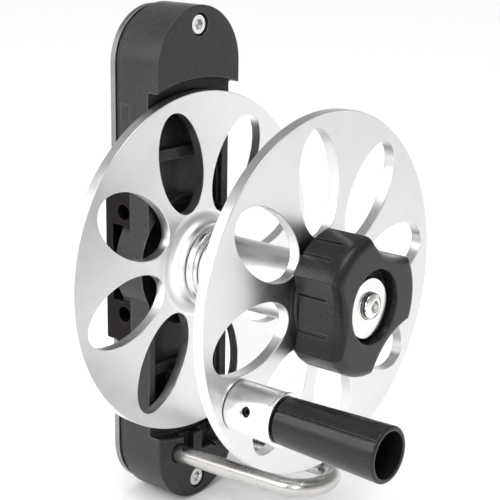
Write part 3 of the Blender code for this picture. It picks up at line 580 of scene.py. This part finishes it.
# The flared hub, whose hollow curve runs out just before the disc's face.
FLARE_FILLET = 5.5
FLARE_REAR = -0.02
FLARE_STEPS = 24
HUB_SCREW_DEPTH = 4.1
low, high = span("hub_flange")
FLARE_R = high.x
FLARE_DROP = FLARE_REAR - low.y
flare = [(DRUM_R + GAP, 0.0), (DRUM_R + GAP, low.y)]
for i in range(FLARE_STEPS + 1):
    a = math.pi / 2 * i / FLARE_STEPS
    flare.append((FLARE_R - FLARE_FILLET * math.cos(a), low.y + FLARE_DROP * math.sin(a)))
cutter = bmesh.new()
for screw in HUB_SCREWS:
    x, _, z = middle(screw)
    plug(SCREW_HOLE_R, -HUB_SCREW_DEPTH, PAST, (x, z), TINY, cutter)
piece("hub_flare", carved(turned(flare, FINE), cutter), SATIN, "spool", ["hub_flange"])

COLLAR_FRONT = -10.1
low, high = span("hub_collar")
COLLAR_R = high.x
profile = [
    (DRUM_R + GAP, COLLAR_FRONT, 0.15),
    (COLLAR_R, COLLAR_FRONT, 0.5),
    (COLLAR_R, high.y, 0.5),
    (DRUM_R + GAP, high.y, 0.15),
]
piece("hub_collar_ring", turned(profile, FINE), TURNED, "spool", ["hub_collar"])

# The retaining ring is a spring clip with its gap facing down. Its flat faces are laid as rows of
# four-sided faces, in place of the two large faces that close the outline.
CLIP_BORE_R = 14.2
CLIP_GAP_HALF = 9.5
CLIP_STEPS = 140
low, high = span("retaining_ring")
CLIP_R = high.x
outer = arc(CLIP_R, -90.0 + CLIP_GAP_HALF, 270.0 - CLIP_GAP_HALF, CLIP_STEPS)
inner = arc(CLIP_BORE_R, 270.0 - CLIP_GAP_HALF, -90.0 + CLIP_GAP_HALF, CLIP_STEPS)
clip = outer + inner
bm = bmesh.new()
ringed(bm, [[(x, y, z) for x, z in clip] for y in (low.y, high.y)])
for face in [f for f in bm.faces if len(f.verts) > 4]:
    bm.faces.remove(face)
verts = list(bm.verts)
half = len(clip)
for base in (0, half):
    for i in range(CLIP_STEPS):
        quad = (verts[base + i], verts[base + i + 1], verts[base + half - 2 - i], verts[base + half - 1 - i])
        bm.faces.new(quad)
piece("retaining_clip", bm, STEEL, "spool", ["retaining_ring"])

# ---------------------------------------------------------------- the moulded back

BODY_LOW, BODY_HIGH = span("body_frame")
BODY_HALF_W = 25.4
BODY_DOME_Z = BODY_HIGH.z - BODY_HALF_W
BODY_FRONT = BODY_LOW.y
BODY_REAR = 23.4
BLOCK_EDGE = 0.9
REAR_EDGE = 0.5
DOME_STEPS = 72
# The lip on the back, and the steps down the sides of the back.
LIP_INSET = 2.2
LIP_REAR = BODY_HIGH.y
SIDE_STEP = 0.4
SIDE_STEP_Y = 17.8
SIDE_STEP_Z = 70.0
# The web between the blocks: its face, the arc that ends it and the pockets in it.
ARC_R = 80.3
WEB_FRONT = 7.0
WEB_EDGE = 0.8
POCKET_RIB = 9.7
POCKET_FLOOR = 13.2
POCKET_HALF_X = 21.5
POCKET_ROUND = 3.5
POCKET_INSET = 0.6
POCKETS = ((19.0, 45.2), (50.3, 70.5))
# The round hub, and the dish in the web in front of it.
HUB_R = BODY_HIGH.x
HUB_REAR = 23.4
DISH_R = 29.5
DISH_FLOOR_R = 24.0
DISH_FLOOR = 12.5
# Screws, and the line guide's two legs.
SADDLE_LOW, SADDLE_HIGH = span("saddle")
SADDLE_SCREWS = [middle(f"saddle_screw_{k}") for k in range(1, 5)]
SADDLE_SHANK_R = 1.9
BLOCK_SCREW_Z = middle("upper_block_screw").z
BLOCK_SHANK_R = 2.8
GUIDE_X = 13.0
GUIDE_R = 4.0
GUIDE_ROOT_Z = -86.5
# Farther than any face of the back, on every side.
BEYOND = 40.0


def stadium(inset):
    """The outline of the back, smaller by an inset: straight sides and two round ends."""
    half = BODY_HALF_W - inset
    top = arc(half, 0.0, 180.0, DOME_STEPS, (0.0, BODY_DOME_Z))
    return top + arc(half, 180.0, 360.0, DOME_STEPS, (0.0, -BODY_DOME_Z))


levels = [(BODY_FRONT + d, o) for o, d in quarter(BLOCK_EDGE)]
levels += [(BODY_REAR - d, o) for o, d in reversed(quarter(REAR_EDGE))]
levels += [(BODY_REAR, LIP_INSET), (LIP_REAR, LIP_INSET)]
back = bmesh.new()
ringed(back, [[(x, y, z) for x, z in stadium(inset)] for y, inset in levels])

ends = mouth(1.0, BODY_FRONT, BLOCK_EDGE)
ends[0] = (ends[0][0] - 4.0, ends[0][1])
web = [(0.0, ends[0][0])] + [(ARC_R + grow, y) for y, grow in ends]
web += [(ARC_R, WEB_FRONT, 1.0), (0.0, WEB_FRONT)]
back = carved(back, turned(web, FINE * 2))
saddle_room = rounded((-BEYOND, BEYOND), (SADDLE_LOW.z - GAP, SADDLE_HIGH.z + GAP), 0.1)
back = carved(back, prism(saddle_room, SADDLE_LOW.y - GAP, BEYOND))


def along_web(edge):
    """The long front edges of the web: both ends lie at a side and on the web's face."""
    near = 0.01
    at_side = all(abs(abs(v.co.x) - BODY_HALF_W) < near for v in edge.verts)
    return at_side and all(abs(v.co.y - WEB_FRONT) < near for v in edge.verts)


web_edges = [edge for edge in back.edges if along_web(edge)]
bmesh.ops.bevel(
    back, geom=web_edges, offset=WEB_EDGE, segments=4, profile=0.5, affect="EDGES", clamp_overlap=True
)
for side in (-1.0, 1.0):
    xs = sorted((side * (BODY_HALF_W - SIDE_STEP), side * BEYOND))
    back = carved(back, prism(rounded(xs, (-SIDE_STEP_Z, SIDE_STEP_Z), 0.6), SIDE_STEP_Y, BEYOND))


def pocket(xs, zs, corner, face, floor, edge, fillet):
    """A cutter for a pocket with a rounded mouth and a filleted floor."""
    outline = rounded(xs, zs, corner)
    levels = [(y, -grow) for y, grow in mouth(1.0, face, edge)]
    levels += [(floor - d, o) for o, d in reversed(quarter(fillet))]
    bm = bmesh.new()
    ringed(bm, [[(x, y, z) for x, z in outline(inset)] for y, inset in levels])
    return bm


for end in (-1.0, 1.0):
    low_z, high_z = sorted((end * POCKETS[0][0], end * POCKETS[1][1]))
    xs = (-POCKET_HALF_X, POCKET_HALF_X)
    back = carved(back, pocket(xs, (low_z, high_z), POCKET_ROUND, WEB_FRONT, POCKET_RIB, 0.5, 0.4))
    for inner, outer in POCKETS:
        near = inner + (POCKET_INSET if inner == POCKETS[0][0] else 0.0)
        far = outer - (POCKET_INSET if outer == POCKETS[1][1] else 0.0)
        zs = sorted((end * near, end * far))
        inside = (-POCKET_HALF_X + POCKET_INSET, POCKET_HALF_X - POCKET_INSET)
        corner = POCKET_ROUND - POCKET_INSET
        back = carved(back, pocket(inside, zs, corner, POCKET_RIB, POCKET_FLOOR, 0.5, 1.2))

hub_front = WEB_FRONT + 0.4
hub = turned([(0.0, hub_front), (HUB_R, hub_front), (HUB_R, HUB_REAR, 0.6), (0.0, HUB_REAR)], FINE)
back = carved(back, hub, "UNION")
DISH_EDGE = 0.4
dish_front = WEB_FRONT - 5.0
dish = [(0.0, dish_front), (DISH_R + DISH_EDGE, dish_front), (DISH_R + DISH_EDGE, WEB_FRONT - 0.02)]
dish += [(DISH_R, WEB_FRONT + 0.3), (DISH_FLOOR_R, DISH_FLOOR, 1.2), (0.0, DISH_FLOOR)]
back = carved(back, turned(dish, FINE))

# Holes from the front or the back: the axle and its nut, the saddle's screws, and the block screws.
AXLE_R = 6.0
AXLE_HOLE_Y = 10.0
NUT_ROOM_R = 9.4
NUT_ROOM_Y = 15.5
SADDLE_HOLE_Y = (14.1, 22.0)
HEAD_ROOM_R = 4.9
HEAD_ROOM_Y = 6.2
CLINCH_ROOM_R = 5.3
CLINCH_ROOM_Y = 21.0
HOLES_REAR = 30.0
holes = turned(
    [
        (0.0, AXLE_HOLE_Y),
        (AXLE_R + GAP, AXLE_HOLE_Y),
        (AXLE_R + GAP, NUT_ROOM_Y),
        (NUT_ROOM_R, NUT_ROOM_Y),
        (NUT_ROOM_R, HOLES_REAR),
        (0.0, HOLES_REAR),
    ],
    ROUND,
)
for screw in SADDLE_SCREWS:
    plug(SADDLE_SHANK_R, *SADDLE_HOLE_Y, (screw.x, screw.z), TINY, holes)
for end in (-1.0, 1.0):
    room = [(0.0, BODY_FRONT - 3.0)]
    room += [(HEAD_ROOM_R + grow, y) for y, grow in mouth(1.0, BODY_FRONT, 0.35)]
    room += [(HEAD_ROOM_R, HEAD_ROOM_Y, 0.3), (BLOCK_SHANK_R, HEAD_ROOM_Y)]
    room += [(BLOCK_SHANK_R, CLINCH_ROOM_Y), (CLINCH_ROOM_R, CLINCH_ROOM_Y)]
    room += [(CLINCH_ROOM_R, HOLES_REAR), (0.0, HOLES_REAR)]
    turned(room, SMALL, (0.0, end * BLOCK_SCREW_Z), holes)
back = carved(back, holes)

# The lower block is open between the two sockets of the line guide, on either side of a rib.
RIB_X = 2.75
RECESS_X = 9.5
RECESS_Y = 5.0
RECESS_Z = -89.5
for side in (-1.0, 1.0):
    xs = sorted((side * RIB_X, side * RECESS_X))
    back = carved(back, pocket(xs, (RECESS_Z, -ARC_R + 8.0), 0.8, BODY_FRONT, RECESS_Y, 0.3, 0.5))

# The line guide's sockets. The guide leans up towards its bend, and TAIL is how far it runs into the block.
BEND_Y = -58.0
RISE = 3.1
SLOPE = math.atan2(RISE, BODY_FRONT - BEND_Y)
TAIL = 13.0
SOCKET_R = GUIDE_R + 0.5
SOCKET_MOUTH_R = GUIDE_R + 0.7
GRUB_ROOM_R = 2.3
lean = Matrix.Translation((0.0, BODY_FRONT, GUIDE_ROOT_Z)) @ Matrix.Rotation(-SLOPE, 4, "X")
sockets = bmesh.new()
for side in (-1.0, 1.0):
    socket = [(0.0, -6.0), (SOCKET_MOUTH_R, -6.0), (SOCKET_MOUTH_R, 0.1)]
    socket += [(SOCKET_R, 0.6), (SOCKET_R, TAIL + 0.6), (0.0, TAIL + 0.6)]
    turned(socket, SMALL, (side * GUIDE_X, 0.0), sockets)
bmesh.ops.transform(sockets, matrix=lean, verts=sockets.verts)
back = carved(back, sockets)
grubs = bmesh.new()
for k in (1, 2):
    spot = middle(f"guide_grub_screw_{k}")
    plug(GRUB_ROOM_R, -12.0, 6.2, (spot.x, 0.0), TINY, grubs)
stand = Matrix.Translation((0.0, spot.y, spot.z)) @ Matrix.Rotation(math.pi / 2, 4, "X")
bmesh.ops.transform(grubs, matrix=stand, verts=grubs.verts)
back = carved(back, grubs)

# Ejector marks: a shallow round print on each block.
MARK_R = 2.0
MARK_DEPTH = 0.12
MARK_SPOTS = ((12.5, 100.7), (-12.5, -101.0))
marks = bmesh.new()
for spot in MARK_SPOTS:
    plug(MARK_R, BODY_FRONT - PAST, BODY_FRONT + MARK_DEPTH, spot, bm=marks)
back = carved(back, marks)

# The saddle's two cross holes run on through the round hub, with a little room round them.
CROSS_R = 3.4
CROSS_Y = 22.3
CROSS_Z = 23.0
CHANNEL_HALF = 27.0


def cross_holes(levels, radius):
    """A cutter for the two cross holes, along X, through (x, growth) levels."""
    bm = bmesh.new()
    for end in (-1.0, 1.0):
        loops = []
        for x, grow in levels:
            loops.append([(x, CROSS_Y + u, end * CROSS_Z + v) for u, v in circle(radius + grow, SMALL)])
        ringed(bm, loops)
    return bm


back = carved(back, cross_holes(((-CHANNEL_HALF, 0.0), (CHANNEL_HALF, 0.0)), CROSS_R + GAP))
piece("body_shell", back, BLACK, "frame", ["body_frame"])

# The saddle: a block with room for the hub, a strap tunnel through its sides and two cross holes.
TUNNEL_FRONT = 23.7
TUNNEL_REAR = 28.9
TUNNEL_HALF_Z = 17.2
SADDLE_EDGE = 0.9
SADDLE_HEAD_R = 3.9
SADDLE_SINK = 2.0
HOLES_FRONT = 10.0
saddle = bmesh.new()
loops = [(SADDLE_HIGH.y - depth, inset) for inset, depth in quarter(SADDLE_EDGE, 6)]
loops.append((SADDLE_LOW.y, 0.0))
outline = rounded((SADDLE_LOW.x, SADDLE_HIGH.x), (SADDLE_LOW.z, SADDLE_HIGH.z), 1.0)
ringed(saddle, [[(x, y, z) for x, z in outline(inset)] for y, inset in loops])
saddle = carved(saddle, plug(HUB_R + GAP, HOLES_FRONT, TUNNEL_FRONT, steps=FINE))
tunnel = bmesh.new()
outline = rounded((TUNNEL_FRONT - 1.0, TUNNEL_REAR), (-TUNNEL_HALF_Z, TUNNEL_HALF_Z), 0.6)
levels = through(SADDLE_LOW.x, SADDLE_HIGH.x, 0.3)
ringed(tunnel, [[(x, y, z) for y, z in outline(-grow)] for x, grow in levels])
saddle = carved(saddle, tunnel)
saddle = carved(saddle, cross_holes(through(SADDLE_LOW.x, SADDLE_HIGH.x, 0.5), CROSS_R))
sink = [
    (0.0, HOLES_FRONT),
    (SADDLE_SHANK_R, HOLES_FRONT),
    (SADDLE_SHANK_R, SADDLE_HIGH.y - SADDLE_SINK),
    (SADDLE_HEAD_R, SADDLE_HIGH.y),
    (SADDLE_HEAD_R, SADDLE_HIGH.y + 3.0),
    (0.0, SADDLE_HIGH.y + 3.0),
]
holes = bmesh.new()
for screw in SADDLE_SCREWS:
    turned(sink, SMALL, (screw.x, screw.z), holes)
saddle = carved(saddle, holes)
piece("saddle_block", saddle, BROWN, "frame", ["saddle"])

# The grey plates over the back of each half.
PLATE_HOLE_FRONT = 20.0
for name, end in (("upper_back_plate", 1.0), ("lower_back_plate", -1.0)):
    low, high = span(name)
    near = low.z if end > 0 else high.z

    def outline(inset, end=end, near=near, half_w=high.x):
        half = half_w - inset
        dome = arc(half, 0.0, end * 180.0, DOME_STEPS, (0.0, end * BODY_DOME_Z))
        return [(half, near + end * inset)] + dome + [(-half, near + end * inset)]

    plate = prism(outline, low.y, high.y, 0.3)
    hole = plug(BLOCK_SHANK_R, PLATE_HOLE_FRONT, BEYOND, (0.0, end * BLOCK_SCREW_Z))
    piece(name + "_sheet", carved(plate, hole), PLATE, "frame", [name])

# ---------------------------------------------------------------- screws and the axle


def hexagon(flats):
    """The corners of a hexagon, from its width across flats."""
    corner = flats / 2 / math.cos(math.pi / 6)
    return [(corner * math.cos(math.pi * i / 3), corner * math.sin(math.pi * i / 3)) for i in range(6)]


def socketed(bm, flats, mouth_y, depth):
    """A hexagon socket cut into a head whose top faces -Y, with a drilled cone at its bottom."""
    flare, cone = 1.06, 0.4
    bottom = mouth_y + depth
    levels = [(mouth_y - PAST, flare), (mouth_y, flare), (mouth_y + 0.2, 1.0)]
    levels += [(bottom, 1.0), (bottom + 0.5, cone)]
    cutter = bmesh.new()
    ringed(cutter, [[(x * size, y, z * size) for x, z in hexagon(flats)] for y, size in levels])
    return carved(bm, cutter)


CAP_STEPS = 64
SOCKET_DEPTH = 0.55


def cap_screw(name, body, head_h, shank_r, flats):
    """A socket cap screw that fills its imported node's length."""
    low, high = span(name)
    head_r = (high.x - low.x) / 2
    length = high.y - low.y
    profile = [
        (0.0, 0.0),
        (head_r, 0.0, 0.45),
        (head_r, head_h, 0.15),
        (shank_r, head_h),
        (shank_r, length, 0.3),
        (0.0, length),
    ]
    spot = middle(name)
    bm = socketed(turned(profile, CAP_STEPS), flats, 0.0, head_h * SOCKET_DEPTH)
    piece(name + "_turned", bm, STEEL, body, [name], (spot.x, low.y, spot.z))


cap_screw("upper_block_screw", "frame", 4.8, 2.5, 4.0)
cap_screw("lower_block_screw", "frame", 4.8, 2.5, 4.0)
cap_screw("grip_end_screw", "spool", 3.0, 2.1, 3.0)

BUTTON_SHANK_R = 3.0
BUTTON_H = 2.6
BUTTON_FLATS = 4.8
BUTTON_SOCKET = 2.2
low, high = span("knob_screw")
profile = [
    (0.0, low.y),
    (3.4, low.y, 0.2),
    (5.2, low.y + 0.9, 1.2),
    (high.x, low.y + BUTTON_H, 0.2),
    (BUTTON_SHANK_R, low.y + BUTTON_H),
    (BUTTON_SHANK_R, high.y, 0.4),
    (0.0, high.y),
]
bm = socketed(turned(profile, ROUND), BUTTON_FLATS, low.y, BUTTON_SOCKET)
piece("knob_button_screw", bm, STEEL, "frame", ["knob_screw"])

WASHER_BORE_R = 4.6
low, high = span("knob_washer")
spot = middle("knob_washer")
outer = (high.x - low.x) / 2
profile = [
    (WASHER_BORE_R, low.y - spot.y, 0.15),
    (outer, low.y - spot.y, 0.3),
    (outer, high.y - spot.y, 0.15),
    (WASHER_BORE_R, high.y - spot.y, 0.15),
]
piece("knob_loose_washer", turned(profile, FINE), STEEL, "frame", ["knob_washer"], spot)

END_WASHER_BORE_R = 2.5
END_WASHER_HALF = 0.7
low, high = span("grip_end_washer")
spot = middle("grip_end_washer")
outer = (high.x - low.x) / 2
profile = [
    (END_WASHER_BORE_R, -END_WASHER_HALF, 0.1),
    (outer, -END_WASHER_HALF, 0.25),
    (outer, END_WASHER_HALF, 0.1),
    (END_WASHER_BORE_R, END_WASHER_HALF, 0.1),
]
bm = turned(profile, ROUND)
piece("grip_retaining_washer", bm, STEEL, "spool", ["grip_end_washer"], spot)

FRICTION_BORE_R = 7.0
low, high = span("drag_washer")
profile = [(FRICTION_BORE_R, low.y), (high.x, low.y, 0.2), (high.x, high.y, 0.2), (FRICTION_BORE_R, high.y)]
piece("drag_friction_ring", turned(profile, FINE), FIBRE, "spool", ["drag_washer"])

# ---------------------------------------------------------------- the drag knob

KNOB_LOW, KNOB_HIGH = span("drag_knob")
KNOB_FRONT = KNOB_LOW.y
KNOB_BACK = KNOB_HIGH.y
LOBE_R = 29.3
LOBE_HALF = 27.0
VALLEY_R = 21.5
KNOB_PHASE = 3.5
CORNER_BLEND = 0.4
RECESS_R = 15.2
RECESS_FLOOR = -86.5
CUP_R = 16.5
CUP_FLOOR = -78.0
INSERT_ROOM_R = 8.6
GROOVE_W = 1.2
GROOVE_DEPTH = 0.7
GROOVE_END = -84.8
KNOB_STEPS = 1080

flank = math.radians(60.0 - LOBE_HALF)
HOLLOW_AT = (LOBE_R**2 - VALLEY_R**2) / (2 * (LOBE_R * math.cos(flank) - VALLEY_R))
HOLLOW_R = HOLLOW_AT - VALLEY_R
VALLEY_GROOVE = 8.4
LOBE_GROOVE = 19.2
GROOVES = [120.0 * k + side * VALLEY_GROOVE for k in range(3) for side in (-1, 1)]
GROOVES += [120.0 * k + 60.0 + side * LOBE_GROOVE for k in range(3) for side in (-1, 1)]


def knob_radius(degrees):
    """The knob's outline: three lobes of one circle with a hollow circle between each two."""
    off = math.radians((degrees - KNOB_PHASE) % 120.0 - 60.0)
    if abs(HOLLOW_AT * math.sin(off)) >= HOLLOW_R:
        return LOBE_R
    hollow = HOLLOW_AT * math.cos(off) - math.sqrt(HOLLOW_R**2 - (HOLLOW_AT * math.sin(off)) ** 2)
    blend = max(CORNER_BLEND - abs(LOBE_R - hollow), 0.0) / CORNER_BLEND
    return min(LOBE_R, hollow) - blend**2 * CORNER_BLEND / 4


def in_groove(degrees, radius):
    """1 inside a finger groove and 0 outside it."""
    for middle_at in GROOVES:
        off = (degrees - KNOB_PHASE - middle_at + 180.0) % 360.0 - 180.0
        if abs(math.radians(off)) * radius < GROOVE_W / 2:
            return 1.0
    return 0.0


def knob_ring(y, shrink, groove):
    """The outline at one level, smaller by shrink; groove is 1 where the finger grooves run."""
    ring = []
    for i in range(KNOB_STEPS):
        degrees = 360.0 * i / KNOB_STEPS
        radius = knob_radius(degrees)
        r = radius - shrink - groove * GROOVE_DEPTH * in_groove(degrees, radius)
        a = math.radians(degrees)
        ring.append((r * math.cos(a), y, r * math.sin(a)))
    return ring


def plain_ring(radius, y, steps=KNOB_STEPS):
    turn = [math.tau * i / steps for i in range(steps)]
    return [(radius * math.cos(a), y, radius * math.sin(a)) for a in turn]


KNOB_BACK_EDGE = 0.8
KNOB_EDGE = 4.2
KNOB_EDGE_FLATTEN = 0.9
rings = [knob_ring(KNOB_BACK - d, o, 1.0) for o, d in quarter(KNOB_BACK_EDGE, 4)]
rings += [knob_ring(GROOVE_END + 0.05, 0.0, 1.0), knob_ring(GROOVE_END - 0.05, 0.0, 0.0)]
rings += [knob_ring(KNOB_FRONT + d, o * KNOB_EDGE_FLATTEN, 0.0) for o, d in reversed(quarter(KNOB_EDGE, 10))]
rings += [plain_ring(RECESS_R + o, KNOB_FRONT + d) for o, d in quarter(0.6, 4)]
rings += [plain_ring(RECESS_R - o, RECESS_FLOOR - d) for o, d in reversed(quarter(0.5, 3))]
rings += [plain_ring(INSERT_ROOM_R, RECESS_FLOOR), plain_ring(INSERT_ROOM_R, CUP_FLOOR)]
rings += [plain_ring(CUP_R, CUP_FLOOR), plain_ring(CUP_R, KNOB_BACK)]
bm = bmesh.new()
ringed(bm, rings, wrap=True)
piece("knob_grip", bm, KNOB_BLACK, "knob", ["drag_knob"])

# ---------------------------------------------------------------- crank

low, high = span("crank_ferrule")
FERRULE_FRONT, FERRULE_REAR = low.y, high.y
FERRULE_R = (high.x - low.x) / 2
SIDE_HOLE_TURN = 162.0
SIDE_HOLE_Y = -79.0
PIN_TURN = 62.0
PIN_Y = -71.3
profile = [
    (SPINDLE_ROOM_R, FERRULE_FRONT, 0.2),
    (FERRULE_R, FERRULE_FRONT, 0.35),
    (FERRULE_R, FERRULE_FRONT + 1.5, 0.2),
    (FERRULE_R - 0.55, FERRULE_FRONT + 1.7),
    (FERRULE_R - 0.55, FERRULE_FRONT + 2.3),
    (FERRULE_R - 0.3, FERRULE_FRONT + 2.5, 0.15),
    (FERRULE_R - 0.6, FERRULE_REAR - 1.0, 0.2),
    (FERRULE_R - 0.9, FERRULE_REAR, 0.2),
    (SPINDLE_ROOM_R, FERRULE_REAR, 0.2),
]


SINK_START = 0.3
HOLE_TOP_R = 14.0


def facing_out(degrees):
    """The outward direction at this angle round Y, and the turn that points a mesh's front along it."""
    outward = Vector((math.cos(math.radians(degrees)), 0.0, math.sin(math.radians(degrees))))
    return outward, Vector((0.0, -1.0, 0.0)).rotation_difference(outward).to_matrix().to_4x4()


def side_hole(degrees, y, radius, sink, bottom):
    """A cutter for a countersunk hole in the ferrule's side, down to this distance from its axis."""
    mouth_y = -FERRULE_R + SINK_START
    cutter = turned(
        [
            (0.0, -HOLE_TOP_R),
            (radius + sink, -HOLE_TOP_R),
            (radius + sink, mouth_y),
            (radius, mouth_y + sink),
            (radius, -bottom),
            (0.0, -bottom),
        ],
        SMALL,
    )
    matrix = Matrix.Translation((0.0, y, 0.0)) @ facing_out(degrees)[1]
    bmesh.ops.transform(cutter, matrix=matrix, verts=cutter.verts)
    return cutter


bm = turned(profile, FINE)
bm = carved(bm, side_hole(SIDE_HOLE_TURN, SIDE_HOLE_Y, 1.9, 0.8, 4.0))
bm = carved(bm, side_hole(PIN_TURN, PIN_Y, 0.6, 0.3, 8.2))
piece("crank_base_ferrule", bm, TURNED, "spool", ["crank_ferrule"], (CRANK.x, 0.0, CRANK.z))

GRUB_TOP_R = 8.6
GRUB_LENGTH = 4.1
GRUB_R = 1.6
GRUB_FLATS = 1.7
GRUB_SOCKET = 2.2
outward, aim = facing_out(SIDE_HOLE_TURN)
profile = [(0.0, 0.0), (GRUB_R, 0.0, 0.2), (GRUB_R, GRUB_LENGTH, 0.2), (0.0, GRUB_LENGTH)]
bm = socketed(turned(profile, SMALL), GRUB_FLATS, 0.0, GRUB_SOCKET)
set_at = Matrix.Translation((CRANK.x, SIDE_HOLE_Y, CRANK.z)) @ Matrix.Translation(outward * GRUB_TOP_R) @ aim
bmesh.ops.transform(bm, matrix=set_at, verts=bm.verts)
piece("ferrule_set_screw", bm, OXIDE, "spool", ["ferrule_grub_screw"])

# The grip: a tapered sleeve with two fine grooves along it and an open cup in its front.
low, high = span("crank_grip")
GRIP_FRONT, GRIP_BACK = low.y, high.y
GRIP_R_FRONT = (high.x - low.x) / 2
GRIP_R_BACK = 9.25
CUP_ROOM_R = 8.7
GRIP_CUP_FLOOR = -118.0
GRIP_GROOVES = (138.0, 318.0)
GRIP_GROOVE_W = 1.0
GRIP_GROOVE_DEPTH = 0.7
GRIP_STEPS = 480


def grip_ring(radius, y, groove):
    """The grip's outside at one level; groove is 1 where the fine grooves run."""
    ring = []
    for i in range(GRIP_STEPS):
        degrees = 360.0 * i / GRIP_STEPS
        r = radius
        for spot in GRIP_GROOVES:
            off = abs(math.radians((degrees - spot + 180.0) % 360.0 - 180.0)) * radius
            if off < GRIP_GROOVE_W / 2:
                r -= groove * GRIP_GROOVE_DEPTH
        a = math.radians(degrees)
        ring.append((r * math.cos(a), y, r * math.sin(a)))
    return ring


rings = [grip_ring(GRIP_R_BACK - o, GRIP_BACK - d, 1.0) for o, d in quarter(0.6, 4)]
for o, d in reversed(quarter(1.0, 6)):
    rings.append(grip_ring(GRIP_R_FRONT - o, GRIP_FRONT + d, 1.0 if o < 0.01 else 0.0))
rings += [plain_ring(CUP_ROOM_R + o, GRIP_FRONT + d, GRIP_STEPS) for o, d in quarter(0.5, 4)]
rings += [plain_ring(CUP_ROOM_R - o, GRIP_CUP_FLOOR - d, GRIP_STEPS) for o, d in reversed(quarter(0.5, 3))]
rings += [plain_ring(SPINDLE_ROOM_R, y, GRIP_STEPS) for y in (GRIP_CUP_FLOOR, GRIP_BACK)]
bm = bmesh.new()
ringed(bm, rings, wrap=True)
piece("crank_handle_sleeve", bm, KNOB_BLACK, "grip", ["crank_grip"], (CRANK.x, 0.0, CRANK.z))

# ---------------------------------------------------------------- line guide

# The guide's centre line: a straight leg, a half turn and the other leg, laid flat and then leaned up.
BEND_STEPS = 64
reach = (BODY_FRONT - BEND_Y) / math.cos(SLOPE)
up = Vector((0.0, 0.0, 1.0))
path = [(Vector((-GUIDE_X, TAIL, 0.0)), Vector((0.0, -1.0, 0.0)))]
for i in range(BEND_STEPS + 1):
    a = math.pi * (1.0 + i / BEND_STEPS)
    spot = Vector((GUIDE_X * math.cos(a), -reach + GUIDE_X * math.sin(a), 0.0))
    path.append((spot, Vector((-math.sin(a), math.cos(a), 0.0))))
path.append((Vector((GUIDE_X, TAIL, 0.0)), Vector((0.0, 1.0, 0.0))))
loops = []
for spot, along in path:
    side = along.cross(up)
    loops.append([spot + side * u + up * v for u, v in circle(GUIDE_R, SMALL)])
bm = bmesh.new()
ringed(bm, loops)
bmesh.ops.transform(bm, matrix=lean, verts=bm.verts)
piece("line_guide_rod", bm, GUIDE_STEEL_PAINTED_REFLECTION, "frame", ["line_guide"])

# ---------------------------------------------------------------- stage, light and camera


def lay_floor(size, height):
    """A plain pale floor at this height, in metres."""
    mat = fresh("pale_floor")
    feed(mat, mat.node_tree.nodes["Principled BSDF"], {"Base Color": (*grey(0.9), 1.0), "Roughness": 0.8})
    bm = bmesh.new()
    bmesh.ops.create_grid(bm, x_segments=1, y_segments=1, size=size / 2)
    mesh = bpy.data.meshes.new("floor")
    bm.to_mesh(mesh)
    bm.free()
    mesh.materials.append(mat)
    obj = bpy.data.objects.new("floor", mesh)
    bpy.context.scene.collection.objects.link(obj)
    obj.location = (0.0, 0.0, height)


FLOOR_GAP = 0.0005
lay_floor(12.0, CAD_BOX[0].z - FLOOR_GAP)


def toward_point(azimuth, elevation):
    """The unit vector from the reel to a point at this azimuth and elevation, in degrees."""
    a, e = math.radians(azimuth), math.radians(elevation)
    return Vector((math.sin(a) * math.cos(e), -math.cos(a) * math.cos(e), math.sin(e)))


def lamp(name, kind, azimuth, elevation, energy, **settings):
    """A soft light a metre away that looks at the reel from that side."""
    light = bpy.data.lights.new(name, kind)
    light.energy = energy
    for key, value in settings.items():
        setattr(light, key, value)
    obj = bpy.data.objects.new(name, light)
    bpy.context.scene.collection.objects.link(obj)
    away = toward_point(azimuth, elevation)
    obj.location = away
    obj.rotation_mode = "QUATERNION"
    obj.rotation_quaternion = away.to_track_quat("Z", "Y")
    return obj


# A broad light fills the room evenly; the softboxes are what the metal and the plastic reflect.
room = lamp("room_light", "SUN", -60.0, 65.0, 2.45, angle=math.radians(80.0))
room.visible_glossy = False
lamp("softbox_left", "AREA", -115.0, 30.0, 4.0, size=0.6)
lamp("softbox_top", "AREA", -35.0, 75.0, 3.0, size=0.5)
lamp("softbox_front", "AREA", -64.0, 24.0, 1.7, size=0.22)

# The world is brighter near the horizon and below it than overhead.
world = bpy.data.worlds.new("studio")
world.use_nodes = True
tree = world.node_tree
sky = tree.nodes.new("ShaderNodeTexCoord")
height = tree.nodes.new("ShaderNodeSeparateXYZ")
fade = tree.nodes.new("ShaderNodeMapRange")
fade.interpolation_type = "SMOOTHSTEP"
for key, value in (("From Min", -0.05), ("From Max", 0.45), ("To Min", 1.15), ("To Max", 0.36)):
    fade.inputs[key].default_value = value
tree.links.new(sky.outputs["Generated"], height.inputs[0])
tree.links.new(height.outputs["Z"], fade.inputs["Value"])
tree.links.new(fade.outputs["Result"], tree.nodes["Background"].inputs["Strength"])
tree.nodes["Background"].inputs["Color"].default_value = (1.0, 1.0, 1.0, 1.0)
bpy.context.scene.world = world
bpy.context.scene.view_settings.view_transform = "Standard"

# The camera: its angles in degrees, and its place in the spool frame.
AZIMUTH = -50.382
ELEVATION = 15.827
ROLL = math.radians(0.951)
LENS = 96.04
PLACE = Vector((-416.695, -372.737, 164.188))
toward = toward_point(AZIMUTH, ELEVATION)
right = toward_point(AZIMUTH + 90.0, 0.0)
above = toward.cross(right)
camera = bpy.data.objects.new("camera", bpy.data.cameras.new("camera"))
bpy.context.scene.collection.objects.link(camera)
bpy.context.scene.camera = camera
camera.data.lens = LENS
camera.data.sensor_width = 36.0
tilted = Matrix(
    (
        right * math.cos(ROLL) + above * math.sin(ROLL),
        above * math.cos(ROLL) - right * math.sin(ROLL),
        toward,
    )
).transposed()
camera.matrix_world = Matrix.Translation(BASE + PLACE * MM) @ tilted.to_4x4()

bpy.context.view_layer.update()
